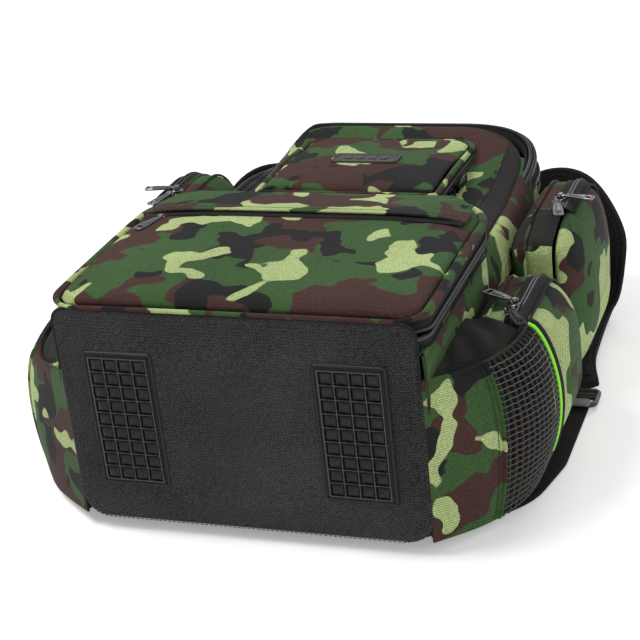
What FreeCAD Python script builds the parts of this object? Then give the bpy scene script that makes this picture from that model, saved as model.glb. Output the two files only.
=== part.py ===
import FreeCAD, Part
import Sketcher
import math
import os
import re

# A padded backpack lying on its back. +Z is the way its front faces, +Y runs from the
# base with its rubber feet to the top, and +X is its right-hand side as it lies.
# Lengths along Y are counted from the outer face of the base; base_y moves that face to
# its place, so that the origin is the middle of the footprint.

os.makedirs("parts", exist_ok=True)
doc = FreeCAD.newDocument("backpack")
sheet = doc.addObject("Spreadsheet::Sheet", "Sheet")

DRIVING = [
    ("bag_width", 306, "across the main compartment"),
    ("bag_length", 500, "base to top"),
    ("back_raise", 12, "thickness of the back pads that it lies on"),
    ("back_thick", 8, "foam back panel"),
    ("main_depth", 138, "back panel's outer face to the main zip"),
    ("base_depth", 197, "height of the base panel"),
    ("wall", 6, "padded wall"),
    ("corner_radius", 100, "the two corners at the top"),
    ("base_back_radius", 22, "base corners at the back"),
    ("base_front_radius", 12, "base corners at the front"),
    ("seam_gap", 0.5, "gap where a piece opens against its neighbour"),
    ("divider_raise", 28, "back panel to the inner divider"),
    ("divider_thick", 6, "inner divider"),
    ("divider_inset", 8, "inner divider's end to where the top gusset begins"),
    ("lid_start", 269, "hinge end of the main lid"),
    ("lid_rise", 16, "depth of the main lid"),
    ("lid_skin", 5, "front panel of the main lid"),
    ("lower_flare", 10, "how much wider the lower pocket is than the main compartment"),
    ("lower_length", 252, "lower pocket"),
    ("lower_depth", 51, "lower pocket walls"),
    ("lower_wall", 5, "lower pocket walls, thickness"),
    ("lower_radius", 60, "lower pocket's far corners"),
    ("lower_lid_thick", 9, "padded face of the lower pocket"),
    ("flap_width", 236, "storm flap over the slit zip"),
    ("flap_start", 182, "storm flap's free edge"),
    ("flap_length", 64, "storm flap"),
    ("flap_thick", 2, "storm flap"),
    ("upper_width", 176, "upper pocket"),
    ("upper_start", 300, "upper pocket's end nearest the base"),
    ("upper_length", 160, "upper pocket"),
    ("upper_depth", 21, "upper pocket walls"),
    ("upper_wall", 4, "upper pocket walls, thickness"),
    ("upper_radius", 22, "upper pocket's far corners"),
    ("upper_lid_thick", 6, "padded face of the upper pocket"),
    ("badge_width", 66, "rubber badge"),
    ("badge_length", 22, "rubber badge"),
    ("badge_thick", 3, "rubber badge"),
    ("badge_start", 362, "rubber badge"),
    ("foot_width", 62, "rubber foot"),
    ("foot_tall", 123, "rubber foot"),
    ("foot_plate", 3, "plate of the rubber foot"),
    ("foot_stud", 5, "pyramids of the rubber foot"),
    ("foot_border", 5, "flat rim round the pyramids"),
    ("foot_offset", 98.6, "centre line to the middle of a foot"),
    ("foot_middle", 97.5, "back panel to the middle of a foot"),
    ("pocket_floor", 18, "lowest side of the side pockets"),
    ("pocket_skin", 4, "side pocket walls"),
    ("pocket_reach", 46, "side pocket, where its lid begins"),
    ("pocket_belly", 30, "how much further it bulges half way up"),
    ("pocket_belly_at", 92, "height of the bulge"),
    ("pocket_shelf", 22, "side pocket, where its flat front strip begins"),
    ("pocket_lid_thick", 6, "side pocket's outer panel"),
    ("near_start", 125, "side pocket beside the lower pocket"),
    ("near_length", 137, "side pocket beside the lower pocket"),
    ("near_front", 153, "front strip of that pocket"),
    ("far_start", 270, "side pocket beside the upper pocket"),
    ("far_inset", 45, "that pocket's far end to the top of the bag"),
    ("far_front", 170, "front strip of that pocket"),
    ("slip_reach", 51, "how far the slip pocket stands out"),
    ("slip_floor", 13, "lowest edge of the slip pocket"),
    ("slip_tall", 135, "slip pocket"),
    ("slip_thick", 3, "slip pocket's cloth and net"),
    ("rim_thick", 3.5, "reflective piping on the slip pocket's edge"),
    ("handle_width", 84, "grab handle"),
    ("handle_reach", 45, "grab handle, past the top"),
    ("handle_gap", 4, "grab handle's stitched ends, past the top"),
    ("handle_band", 9, "grab handle's webbing"),
    ("handle_thick", 7, "grab handle's webbing"),
    ("yoke_width", 70, "pad that the handle and straps are sewn to"),
    ("yoke_inset", 38, "that pad, its far edge is 2 mm short of the top"),
    ("yoke_length", 36, "that pad"),
    ("strap_width", 54, "shoulder strap"),
    ("strap_thick", 9, "shoulder strap"),
    ("lock_width", 40, "ladder-lock buckle"),
    ("lock_length", 32, "ladder-lock buckle"),
    ("lock_thick", 5, "ladder-lock buckle"),
    ("lock_bar", 5, "its bars"),
    ("lock_place", 216, "centre line to the middle of the buckle"),
    ("lock_start", 260, "the buckle's end nearest the base"),
    ("webbing_width", 26, "webbing from the buckle to the bag"),
    ("webbing_thick", 3, "that webbing"),
    ("slider_length", 11, "zip slider"),
    ("slider_width", 9, "zip slider"),
    ("slider_thick", 3.6, "zip slider"),
    ("pin_height", 6.0, "zip surface to the pull's pin"),
    ("pin_radius", 0.9, "pull's pin"),
    ("pull_play", 0.3, "pull's eye round its pin"),
    ("pull_length", 27, "zip pull"),
    ("pull_width", 8, "zip pull"),
    ("pull_thick", 1.8, "zip pull"),
    ("pull_slot", 4, "slot through the pull"),
    ("over", 2, "how far a cut runs on past what it cuts, and other small steps"),
]
DERIVED = [
    ("base_y", "=-(bag_length + handle_reach - foot_plate - foot_stud) / 2"),
    ("back_top", "=back_raise + back_thick"),
    ("zip_level", "=back_raise + main_depth"),
    ("lid_top", "=zip_level + seam_gap + lid_rise"),
    ("lower_top", "=zip_level + lower_depth"),
    ("lower_face", "=lower_top + seam_gap + lower_lid_thick"),
    ("upper_top", "=lid_top + upper_depth"),
    ("upper_face", "=upper_top + seam_gap + upper_lid_thick"),
    ("half_width", "=bag_width / 2"),
    ("lower_width", "=bag_width + lower_flare"),
    ("far_length", "=bag_length - far_inset - far_start"),
]
for row, (alias, value, note) in enumerate(DRIVING, start=1):
    sheet.set("A%d" % row, alias)
    sheet.set("B%d" % row, str(value))
    sheet.set("C%d" % row, note)
    sheet.setAlias("B%d" % row, alias)
for row, (alias, formula) in enumerate(DERIVED, start=len(DRIVING) + 1):
    sheet.set("A%d" % row, alias)
    sheet.set("B%d" % row, formula)
    sheet.setAlias("B%d" % row, alias)
doc.recompute()

ALIASES = {row[0] for row in DRIVING + DERIVED}
nodes = []


def bound(text):
    """The expression with each of the sheet's names made a reference to its cell."""

    def cell(word):
        return "Sheet." + word.group() if word.group() in ALIASES else word.group()

    return re.sub(r"[a-z_]+", cell, text)


def size(text):
    """The value that an expression has now."""
    return float(sheet.evalExpression(text))


def place(piece, x="0", y="0", z="0", turn=None):
    """Puts a piece at sheet expressions, with y counted from the base's outer face."""
    if turn is not None:
        piece.Placement = FreeCAD.Placement(FreeCAD.Vector(), turn)
    piece.setExpression("Placement.Base.x", bound(x))
    piece.setExpression("Placement.Base.y", bound("base_y + " + y))
    piece.setExpression("Placement.Base.z", bound(z))


def keep(piece, label):
    """Names a finished sub-part and puts it on the list that is written out."""
    piece.Label = label
    nodes.append(piece)
    return piece


def outline(body, plane, points, offset="0"):
    """A closed sketch on one of the body's own planes, every corner bound to the sheet."""
    sketch = body.newObject("Sketcher::SketchObject", "Outline")
    faces = [part for part in body.Origin.OriginFeatures if part.Role == plane]
    sketch.AttachmentSupport = [(faces[0], "")]
    sketch.MapMode = "FlatFace"
    sketch.setExpression("AttachmentOffset.Base.z", bound(offset))
    corners = [FreeCAD.Vector(size(x), size(y), 0) for x, y in points]
    for index, corner in enumerate(corners):
        sketch.addGeometry(Part.LineSegment(corner, corners[(index + 1) % len(corners)]), False)
    for index in range(len(corners)):
        following = (index + 1) % len(corners)
        sketch.addConstraint(Sketcher.Constraint("Coincident", index, 2, following, 1))
    for index, (x, y) in enumerate(points):
        for kind, text, value in (("DistanceX", x, corners[index].x), ("DistanceY", y, corners[index].y)):
            if text == "0":
                axis = -2 if kind == "DistanceX" else -1
                sketch.addConstraint(Sketcher.Constraint("PointOnObject", index, 1, axis))
                continue
            number = sketch.addConstraint(Sketcher.Constraint(kind, -1, 1, index, 1, value))
            sketch.setExpression("Constraints[%d]" % number, bound(text))
    return sketch


def prism(plane, points, depth):
    """A padded block: the outline carried along the plane's normal."""
    body = doc.addObject("PartDesign::Body", "Body")
    pad = body.newObject("PartDesign::Pad", "Pad")
    pad.Profile = outline(body, plane, points)
    pad.setExpression("Length", bound(depth))
    doc.recompute()
    return body


def hollow(body, plane, points, depth, offset="0"):
    """Cuts the outline out of a prism, along the way the prism was padded."""
    before = body.Shape.Volume
    cut = body.newObject("PartDesign::Pocket", "Pocket")
    cut.Profile = outline(body, plane, points, offset)
    cut.setExpression("Length", bound(depth))
    cut.Reversed = True
    doc.recompute()
    if not body.Shape.Volume < before - 1:
        raise RuntimeError("a pocket cut nothing")


def soften(body, radius, chosen):
    """Rounds the straight edges that chosen(middle, direction) picks, both as the body's own."""
    picked = []
    for number, edge in enumerate(body.Shape.Edges, start=1):
        if not isinstance(edge.Curve, Part.Line):
            continue
        middle = body.Placement.inverse().multVec(edge.CenterOfMass)
        along = body.Placement.Rotation.inverted().multVec(edge.Curve.Direction)
        if chosen(middle, along):
            picked.append("Edge%d" % number)
    rounded = body.Tip
    fillet = body.newObject("PartDesign::Fillet", "Fillet")
    fillet.Base = (rounded, picked)
    fillet.setExpression("Radius", bound(radius))
    doc.recompute()


def upright_at(x, y):
    """Picks the two edges along Z that stand that far out and that far along."""
    return lambda middle, along: along.z ** 2 > 0.9 and math.hypot(abs(middle.x) - x, middle.y - y) < 0.1


def round_corners(body, half, end, radius):
    """Rounds the two upright corners at the far end of a piece that reaches half and end."""
    soften(body, radius, upright_at(size(half), size(end)))


def walls(half, start, end, wall, depth, floor_cut, radius):
    """A rounded block whose inside is cut out from below, leaving walls of one thickness.
    start is where the outer block starts and floor_cut where its hollow does."""
    body = prism("XY_Plane", rectangle(half, start, end), depth[0])
    inner_half = "%s - %s" % (half, wall)
    inner_end = "%s - %s" % (end, wall)
    hollow(body, "XY_Plane", rectangle(inner_half, floor_cut, inner_end), depth[1])
    round_corners(body, inner_half, inner_end, "%s - %s" % (radius, wall))
    round_corners(body, half, end, radius)
    return body


def rectangle(half, low, high):
    """Corners of a rectangle centred across the bag."""
    return [("-(%s)" % half, low), (half, low), (half, high), ("-(%s)" % half, high)]


def span(left, right, low, high):
    """Corners of a rectangle that lies anywhere."""
    return [(left, low), (right, low), (right, high), (left, high)]


def mirrored(points):
    """The same outline on the other side of the centre line."""
    return [("-(%s)" % x, y) for x, y in reversed(points)]


def sided(points, side):
    return points if side == "right" else mirrored(points)


# Main compartment: back panel, base, two side gussets, an arched top gusset, the wall
# behind the lower pocket, and the padded divider of the sleeve along the back.

back = prism("XY_Plane", rectangle("half_width", "wall", "bag_length"), "back_thick")
place(back, z="back_raise")
round_corners(back, "half_width", "bag_length", "corner_radius")
keep(back, "back_panel")

base = prism("XZ_Plane", rectangle("half_width", "0", "base_depth"), "wall")
place(base, y="wall", z="back_raise")
half_up = size("base_depth") / 2
soften(base, "base_back_radius", lambda middle, along: abs(along.y) > 0.9 and middle.z < half_up)
soften(base, "base_front_radius", lambda middle, along: abs(along.y) > 0.9 and middle.z > half_up)
keep(base, "base_panel")

arch_start = "bag_length - corner_radius - wall"
for side in ("left", "right"):
    strip = span("half_width - wall", "half_width", "wall", arch_start)
    gusset = prism("XY_Plane", sided(strip, side), "zip_level - back_top")
    place(gusset, z="back_top")
    keep(gusset, "gusset_" + side)

arch_depth = ("zip_level - back_top", "main_depth")
arch_cut = arch_start + " - over"
arch = walls("half_width", arch_start, "bag_length", "wall", arch_depth, arch_cut, "corner_radius")
place(arch, z="back_top")
keep(arch, "gusset_top")

front_wall = prism("XY_Plane", rectangle("half_width - wall", "wall", "lid_start - 2 * seam_gap"), "wall")
place(front_wall, z="zip_level - wall")
keep(front_wall, "front_wall")

divider_end = arch_start + " - divider_inset"
divider = prism("XY_Plane", rectangle("half_width - wall", "wall", divider_end), "divider_thick")
place(divider, z="back_raise + divider_raise")
keep(divider, "inner_divider")


# Rubber feet on the base: a plate with rows of four-sided pyramids inside a flat rim.

STUDS_ACROSS = 4
STUDS_UP = 9


def pyramid(x, z, width, tall, out):
    """A four-sided pyramid on the XZ plane that points towards -Y."""
    corners = [FreeCAD.Vector(x, 0, z), FreeCAD.Vector(x + width, 0, z)]
    corners += [FreeCAD.Vector(x + width, 0, z + tall), FreeCAD.Vector(x, 0, z + tall)]
    tip = FreeCAD.Vector(x + width / 2, -out, z + tall / 2)
    faces = [Part.Face(Part.makePolygon(corners + corners[:1]))]
    for index in range(4):
        side_of = [corners[index], corners[(index + 1) % 4], tip, corners[index]]
        faces.append(Part.Face(Part.makePolygon(side_of)))
    return Part.makeSolid(Part.makeShell(faces))


def foot(label, side):
    """One foot, with its back face on the base."""
    plate = Part.makeBox(size("foot_width"), size("foot_plate"), size("foot_tall"))
    plate.translate(FreeCAD.Vector(0, -size("foot_plate"), 0))
    corners = [edge for edge in plate.Edges if abs(edge.tangentAt(0).y) > 0.9]
    plate = plate.makeFillet(size("foot_border") / 2, corners)
    across = (size("foot_width") - 2 * size("foot_border")) / STUDS_ACROSS
    up = (size("foot_tall") - 2 * size("foot_border")) / STUDS_UP
    studs = []
    for column in range(STUDS_ACROSS):
        for row in range(STUDS_UP):
            stud = pyramid(column * across, row * up, across, up, size("foot_stud"))
            stud.translate(FreeCAD.Vector(size("foot_border"), -size("foot_plate"), size("foot_border")))
            studs.append(stud)
    piece = doc.addObject("Part::Feature", "Foot")
    piece.Shape = plate.multiFuse(studs).removeSplitter()
    offset = "foot_offset" if side > 0 else "-foot_offset"
    place(piece, x=offset + " - foot_width / 2", z="back_raise + foot_middle - foot_tall / 2")
    keep(piece, label)


foot("foot_left", -1)
foot("foot_right", 1)


# Back pads: four soft pads on the back panel, with an air channel between the columns.

PAD_COLUMNS = ("-(half_width - 2 * back_raise)", "2 * back_raise")
PAD_ROWS = (("bag_length * 0.1", "bag_length * 0.38"), ("bag_length * 0.54", "bag_length * 0.34"))
pads = []
for left in PAD_COLUMNS:
    for start, length in PAD_ROWS:
        pad = doc.addObject("Part::Box", "Pad")
        pad.setExpression("Length", bound("half_width - 4 * back_raise"))
        pad.setExpression("Width", bound(length))
        pad.setExpression("Height", bound("back_raise"))
        place(pad, x=left, y=start)
        pads.append(pad)
back_pads = doc.addObject("Part::Compound", "Pads")
back_pads.Links = pads
keep(back_pads, "back_pads")


# Lower pocket: three walls on the front wall, with the base as the fourth, a padded face
# that unzips and folds down over the base, and a storm flap over the slit zip in it.

lower_half = "lower_width / 2"
wall_depth = ("lower_depth", "lower_depth + over")
lower_walls = walls(lower_half, "wall", "lower_length", "lower_wall", wall_depth, "0", "lower_radius")
place(lower_walls, z="zip_level")
keep(lower_walls, "lower_pocket_walls")

lower_start = "wall + 2 * seam_gap"
lower_lid = prism("XY_Plane", rectangle(lower_half, lower_start, "lower_length"), "lower_lid_thick")
place(lower_lid, z="lower_top + seam_gap")
round_corners(lower_lid, lower_half, "lower_length", "lower_radius")
keep(lower_lid, "lower_pocket_lid")

flap_end = "flap_start + flap_length"
flap = prism("XY_Plane", rectangle("flap_width / 2", "flap_start", flap_end), "flap_thick")
place(flap, z="lower_face + seam_gap")
keep(flap, "storm_flap")


# Main lid: the front panel with a rim all round, closed by the long arched zip. The
# upper pocket is sewn to it, and has a padded face of its own and a rubber badge.

lid_half = "half_width - 5 * seam_gap"
lid_end = "bag_length - 5 * seam_gap"
lid_depth = ("lid_rise", "lid_rise - lid_skin")
main_lid = walls(lid_half, "lid_start", lid_end, "wall", lid_depth, "lid_start + wall", "corner_radius")
place(main_lid, z="zip_level + seam_gap")
keep(main_lid, "main_lid")

upper_half = "upper_width / 2"
upper_end = "upper_start + upper_length"
wall_depth = ("upper_depth", "upper_depth + over")
upper_cut = "upper_start + upper_wall"
upper_walls = walls(
    upper_half, "upper_start", upper_end, "upper_wall", wall_depth, upper_cut, "upper_radius"
)
place(upper_walls, z="lid_top")
keep(upper_walls, "upper_pocket_walls")

upper_lid = prism("XY_Plane", rectangle(upper_half, "upper_start", upper_end), "upper_lid_thick")
place(upper_lid, z="upper_top + seam_gap")
round_corners(upper_lid, upper_half, upper_end, "upper_radius")
keep(upper_lid, "upper_pocket_lid")

badge_end = "badge_start + badge_length"
badge = prism("XY_Plane", rectangle("badge_width / 2", "badge_start", badge_end), "badge_thick")
place(badge, z="upper_face")
soften(badge, "badge_thick", lambda middle, along: abs(along.z) > 0.9)
keep(badge, "label_badge")


# Side pockets: a shell on the side gusset, open on its outer side, and the bulging outer
# panel that closes it. Each has a flat front strip that its zip sliders run along.


def pocket(name, side, start, length, front):
    """A side pocket's shell and its outer panel."""
    foot_of = "half_width"
    edge = "half_width + pocket_reach"
    belly = edge + " + pocket_belly"
    shelf = "half_width + pocket_shelf"
    shape = [
        (foot_of, "pocket_floor"),
        (edge, "pocket_floor"),
        (belly, "pocket_belly_at"),
        (edge, front),
        (shelf, front),
        (foot_of, "zip_level - over"),
    ]
    cavity = [
        (foot_of + " + pocket_skin", "pocket_floor + pocket_skin"),
        (belly + " + over", "pocket_floor + pocket_skin"),
        (belly + " + over", front + " - pocket_skin"),
        (shelf, front + " - pocket_skin"),
        (foot_of + " + pocket_skin", "zip_level - over - pocket_skin"),
    ]
    shell = prism("XZ_Plane", sided(shape, side), length)
    place(shell, y=start + " + " + length)
    hollow(shell, "XZ_Plane", sided(cavity, side), length + " - 2 * pocket_skin", "pocket_skin")
    keep(shell, "side_pocket_%s_%s" % (name, side))
    skin = "pocket_lid_thick + seam_gap"
    panel = [
        (edge + " + seam_gap", "pocket_floor"),
        (edge + " + " + skin, "pocket_floor"),
        (belly + " + " + skin, "pocket_belly_at"),
        (edge + " + " + skin, front),
        (edge + " + seam_gap", front),
        (belly + " + seam_gap", "pocket_belly_at"),
    ]
    lid = prism("XZ_Plane", sided(panel, side), length)
    place(lid, y=start + " + " + length)
    keep(lid, "side_lid_%s_%s" % (name, side))


POCKETS = (
    ("near", "near_start", "near_length", "near_front"),
    ("far", "far_start", "far_length", "far_front"),
)
for side in ("left", "right"):
    for name, start, length, front in POCKETS:
        pocket(name, side, start, length, front)


# Slip pockets: one bent panel each, cloth beside the base and net beside the near side
# pocket, that stands out from the side gusset and is open towards the bag's front.

for side in ("left", "right"):
    end = "near_start - seam_gap"
    run = [
        ("half_width + over", "wall"),
        ("half_width + slip_reach * 0.45", "near_start * 0.3"),
        ("half_width + slip_reach * 0.78", "near_start * 0.62"),
        ("half_width + slip_reach", end),
        ("half_width + slip_reach + slip_thick", end),
        ("half_width + slip_reach * 0.78 + slip_thick", "near_start * 0.6"),
        ("half_width + slip_reach * 0.45 + slip_thick", "near_start * 0.27"),
        ("half_width + slip_thick + over", "over"),
        ("half_width", "over"),
        ("half_width", "wall"),
    ]
    slip = prism("XY_Plane", sided(run, side), "slip_tall")
    place(slip, z="slip_floor")
    keep(slip, "slip_panel_" + side)
    outer = "half_width + slip_reach + slip_thick"
    strip = span(outer, outer + " + rim_thick", end + " - rim_thick", end)
    rim = prism("XY_Plane", sided(strip, side), "slip_tall")
    place(rim, z="slip_floor")
    keep(rim, "slip_rim_" + side)


# Yoke pad and grab handle at the top of the back.

yoke_start = "bag_length - yoke_inset"
yoke_end = yoke_start + " + yoke_length"
yoke = prism("XY_Plane", rectangle("yoke_width / 2", yoke_start, yoke_end), "back_raise - over")
place(yoke, z="over")
keep(yoke, "strap_yoke")

handle_half = "handle_width / 2"
handle_start = "bag_length + handle_gap"
handle_end = "bag_length + handle_reach"
band_depth = ("handle_thick", "handle_thick + over")
handle_curve = "handle_band * 2"
handle = walls(
    handle_half, handle_start, handle_end, "handle_band", band_depth, "bag_length", handle_curve
)
place(handle, z="back_raise + over")
keep(handle, "grab_handle")


# Shoulder straps: padded bands that come out from under the top of the back, stand up on
# edge where they turn, and lie flat along the floor to the buckle. Each station is tied to
# a length along the bag, and gives its centre from there, the way its left-hand edge lies,
# and its share of the strap's width. A height of None is midway under the back panel.

TOP = "bag_length"
TURN = "far_start + far_length"
BUCKLE = "lock_start + lock_length"
STATIONS = (
    (TOP, (70, -20, None), (-1.0, 0.0, 0.0), 0.95),
    (TOP, (74, 8, None), (-1.0, 0.0, -0.11), 0.95),
    (TURN, (84, 68, 25), (-0.85, 0.0, 0.5), 0.97),
    (TURN, (106, 78, 50), (-0.4, 0.1, 0.9), 1.0),
    (TURN, (140, 80, 78), (0.0, 0.1, 1.0), 1.0),
    (TURN, (178, 66, 85), (0.1, -0.1, 1.0), 1.0),
    (TURN, (200, 45, 58), (0.5, 0.0, 0.85), 1.0),
    (TURN, (199, 23, 26), (0.9, 0.0, 0.42), 1.0),
    (TURN, (191, 1, 8), (1.0, 0.0, 0.07), 0.97),
    (TURN, (191, -50, None), (1.0, 0.0, 0.0), 0.95),
    (BUCKLE, (197, 53, None), (1.0, 0.0, 0.0), 0.85),
    (BUCKLE, (215, 8, None), (1.0, 0.0, 0.0), 0.62),
)


def centre_of(station):
    """Where a station's centre is, with its height worked out."""
    tied_to, (x, y, z), _, _ = station
    height = size("back_raise") / 2 if z is None else z
    return FreeCAD.Vector(x, size(tied_to) + y, height)


def section(station, heading, side):
    """The strap's cross-section at one station."""
    middle = centre_of(station)
    left = FreeCAD.Vector(*station[2])
    left = left - heading * left.dot(heading)
    left.normalize()
    across = left * (size("strap_width") * station[3] / 2)
    through = heading.cross(left) * (size("strap_thick") / 2)
    corners = [middle + across + through, middle + across - through]
    corners += [middle - across - through, middle - across + through]
    if side == "left":
        corners = [FreeCAD.Vector(-corner.x, corner.y, corner.z) for corner in corners]
    return Part.makePolygon(corners + corners[:1])


def strap(side):
    """One shoulder strap, lofted through its stations."""
    centres = [centre_of(station) for station in STATIONS]
    wires = []
    for index, station in enumerate(STATIONS):
        before = centres[max(index - 1, 0)]
        after = centres[min(index + 1, len(centres) - 1)]
        heading = (after - before).normalize()
        wires.append(section(station, heading, side))
    piece = doc.addObject("Part::Feature", "Strap")
    piece.Shape = Part.makeLoft(wires, True, True)
    place(piece)
    keep(piece, "shoulder_strap_" + side)


for side in ("left", "right"):
    strap(side)


# Ladder-lock buckle at the end of each strap, and the webbing that comes from the bag's
# lower corner to it, with a folded tab where it is sewn under the back panel.

for side in ("left", "right"):
    low = "lock_place - lock_width / 2"
    high = "lock_place + lock_width / 2"
    frame = span(low, high, "lock_start", "lock_start + lock_length")
    lock = prism("XY_Plane", sided(frame, side), "lock_thick")
    place(lock, z="webbing_thick")
    slot_long = "(lock_length - 3 * lock_bar) / 2"
    for start in ("lock_start + lock_bar", "lock_start + 2 * lock_bar + " + slot_long):
        slot = span(low + " + lock_bar", high + " - lock_bar", start, start + " + " + slot_long)
        hollow(lock, "XY_Plane", sided(slot, side), "lock_thick + over")
    keep(lock, "ladder_lock_" + side)

    end = "lock_start - seam_gap"
    inner = "lock_place - webbing_width / 2"
    run = [
        ("half_width - 10", "near_start * 0.4"),
        ("half_width + 15", "near_start * 0.25"),
        ("half_width + 45", "near_start * 0.75"),
        (inner + " + webbing_width", "near_start * 1.3"),
        (inner + " + webbing_width", end),
        (inner, end),
        (inner, "near_start * 1.4"),
        ("half_width + 18", "near_start * 0.95"),
        ("half_width - 10", "near_start * 0.75"),
    ]
    webbing = prism("XY_Plane", sided(run, side), "webbing_thick")
    place(webbing)
    tab = webbing.newObject("PartDesign::Pad", "Tab")
    block = span("half_width - 10", "half_width", "near_start * 0.4", "near_start * 0.75")
    tab.Profile = outline(webbing, "XY_Plane", sided(block, side))
    tab.setExpression("Length", bound("back_raise"))
    doc.recompute()
    keep(webbing, "strap_webbing_" + side)


# Zip sliders and pulls. A slider lies on a zip with its pin across it, and the pull's eye
# turns on the pin. Both are made at the origin, the pull along +X, and then placed.


def bolt(radius, length):
    """A cylinder along Y, centred on the pin's line."""
    rod = doc.addObject("Part::Cylinder", "Rod")
    rod.setExpression("Radius", bound(radius))
    rod.setExpression("Height", bound(length))
    rod.Placement = FreeCAD.Placement(FreeCAD.Vector(), FreeCAD.Rotation(FreeCAD.Vector(1, 0, 0), -90))
    rod.setExpression("Placement.Base.y", bound("-(%s) / 2" % length))
    rod.setExpression("Placement.Base.z", bound("pin_height"))
    return rod


def block(x, y, z, length, width, height):
    """A box by its lowest corner and its three sizes."""
    box = doc.addObject("Part::Box", "Block")
    for name, text in (("Length", length), ("Width", width), ("Height", height)):
        box.setExpression(name, bound(text))
    for name, text in (("x", x), ("y", y), ("z", z)):
        box.setExpression("Placement.Base." + name, bound(text))
    return box


def slider():
    """Slider body, two ears and the pin between them."""
    half = "-slider_width / 2"
    parts = [block("-slider_length / 2", half, "0", "slider_length", "slider_width", "slider_thick")]
    ear = "slider_width / 5"
    ear_tall = "pin_height - slider_thick + pin_radius"
    for start in (half, "slider_width / 2 - " + ear):
        parts.append(block("-2 * pin_radius", start, "slider_thick", "4 * pin_radius", ear, ear_tall))
    parts.append(bolt("pin_radius", "slider_width"))
    fused = doc.addObject("Part::MultiFuse", "Slider")
    fused.Shapes = parts
    return fused


def pull():
    """Flat tab with a slot near its end, and an eye that is open round the pin."""
    eye = bolt("pin_radius + pull_play + pull_thick / 2", "slider_width / 2")
    under = "pin_height - pull_thick / 2"
    start = "slider_length / 2"
    tab = block(start, "-pull_width / 2", under, "pull_length", "pull_width", "pull_thick")
    neck = block("0", "-slider_width / 4", under, start, "slider_width / 2", "pull_thick")
    solid = doc.addObject("Part::MultiFuse", "Tab")
    solid.Shapes = [eye, tab, neck]
    slot_at = start + " + pull_length - 1.75 * pull_slot"
    opening = block(slot_at, "-pull_width / 4", "0", "pull_slot", "pull_width / 2", "2 * pin_height")
    holes = doc.addObject("Part::MultiFuse", "Holes")
    holes.Shapes = [bolt("pin_radius + pull_play", "slider_width"), opening]
    cut = doc.addObject("Part::Cut", "Pull")
    cut.Base = solid
    cut.Tool = holes
    return cut


def turned(about_z, tilt=(0, 0, 0)):
    """The pull's direction about +Z, and then the surface that the slider lies on."""
    spin = FreeCAD.Rotation(FreeCAD.Vector(0, 0, 1), about_z)
    lean = FreeCAD.Rotation(FreeCAD.Vector(tilt[0], tilt[1], 0), tilt[2])
    return lean.multiply(spin)


TO_FAR_END = (1, 0, -90)
TO_RIGHT = (0, 1, 90)
TO_LEFT = (0, 1, -90)
FLAT = (0, 0, 0)
face = "+ seam_gap / 2"
main_at = ("bag_length " + face, "zip_level - slider_width")
upper_side = "upper_width / 2 " + face
upper_at = "upper_top - slider_width"
lower_side = "-(lower_width / 2) - seam_gap / 2"
slit_at = ("-(flap_width / 2) - slider_width", "flap_start - slider_width", "lower_face " + face)
PAIRS = (
    ("main_%s_left", ("-(slider_length)",) + main_at, 180, TO_FAR_END),
    ("main_%s_right", ("slider_length",) + main_at, 0, TO_FAR_END),
    ("upper_%s_low", (upper_side, "upper_start + 38", upper_at), -90, TO_RIGHT),
    ("upper_%s_high", (upper_side, "upper_start + 54", upper_at), 90, TO_RIGHT),
    ("lower_%s", (lower_side, "lower_length / 2", "lower_top - slider_width"), -90, TO_LEFT),
    ("slit_%s", slit_at, -110, FLAT),
)
for name, (x, y, z), about_z, tilt in PAIRS:
    for kind, make in (("slider", slider), ("pull", pull)):
        piece = make()
        place(piece, x, y, z, turned(about_z, tilt))
        keep(piece, name % kind)

SIDE_PAIRS = (
    ("near_%s_low", "near_start + 12", "near_front", -60),
    ("near_%s_high", "near_start + 28", "near_front", 150),
    ("far_%s_low", "far_start + 62", "far_front", -75),
    ("far_%s_high", "far_start + 78", "far_front", -10),
)
side_sliders = []
for side, sign in (("left", "-"), ("right", "")):
    for name, y, z, about_z in SIDE_PAIRS:
        x = sign + "(half_width + pocket_reach - slider_length / 2 - 1)"
        heading = about_z if side == "right" else 180 - about_z
        body = slider()
        place(body, x, y, z + face, turned(heading))
        side_sliders.append(body)
        tag = pull()
        place(tag, x, y, z + face, turned(heading))
        keep(tag, (name % "pull") + "_" + side)
group = doc.addObject("Part::Compound", "Sliders")
group.Links = side_sliders
keep(group, "side_sliders")


doc.recompute()
for thing in doc.Objects:
    if {"Invalid", "Error"} & set(thing.State):
        raise RuntimeError("%s did not compute: %s" % (thing.Name, thing.State))
for node in nodes:
    if node.Shape.isNull() or not node.Shape.isValid():
        raise RuntimeError("%s has no valid shape" % node.Label)
low = FreeCAD.BoundBox()
for node in nodes:
    low.add(node.Shape.BoundBox)
    node.Shape.exportStep("parts/%s.step" % node.Label)
print("%d sub-parts, box %s" % (len(nodes), low))
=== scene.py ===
from math import radians

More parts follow.
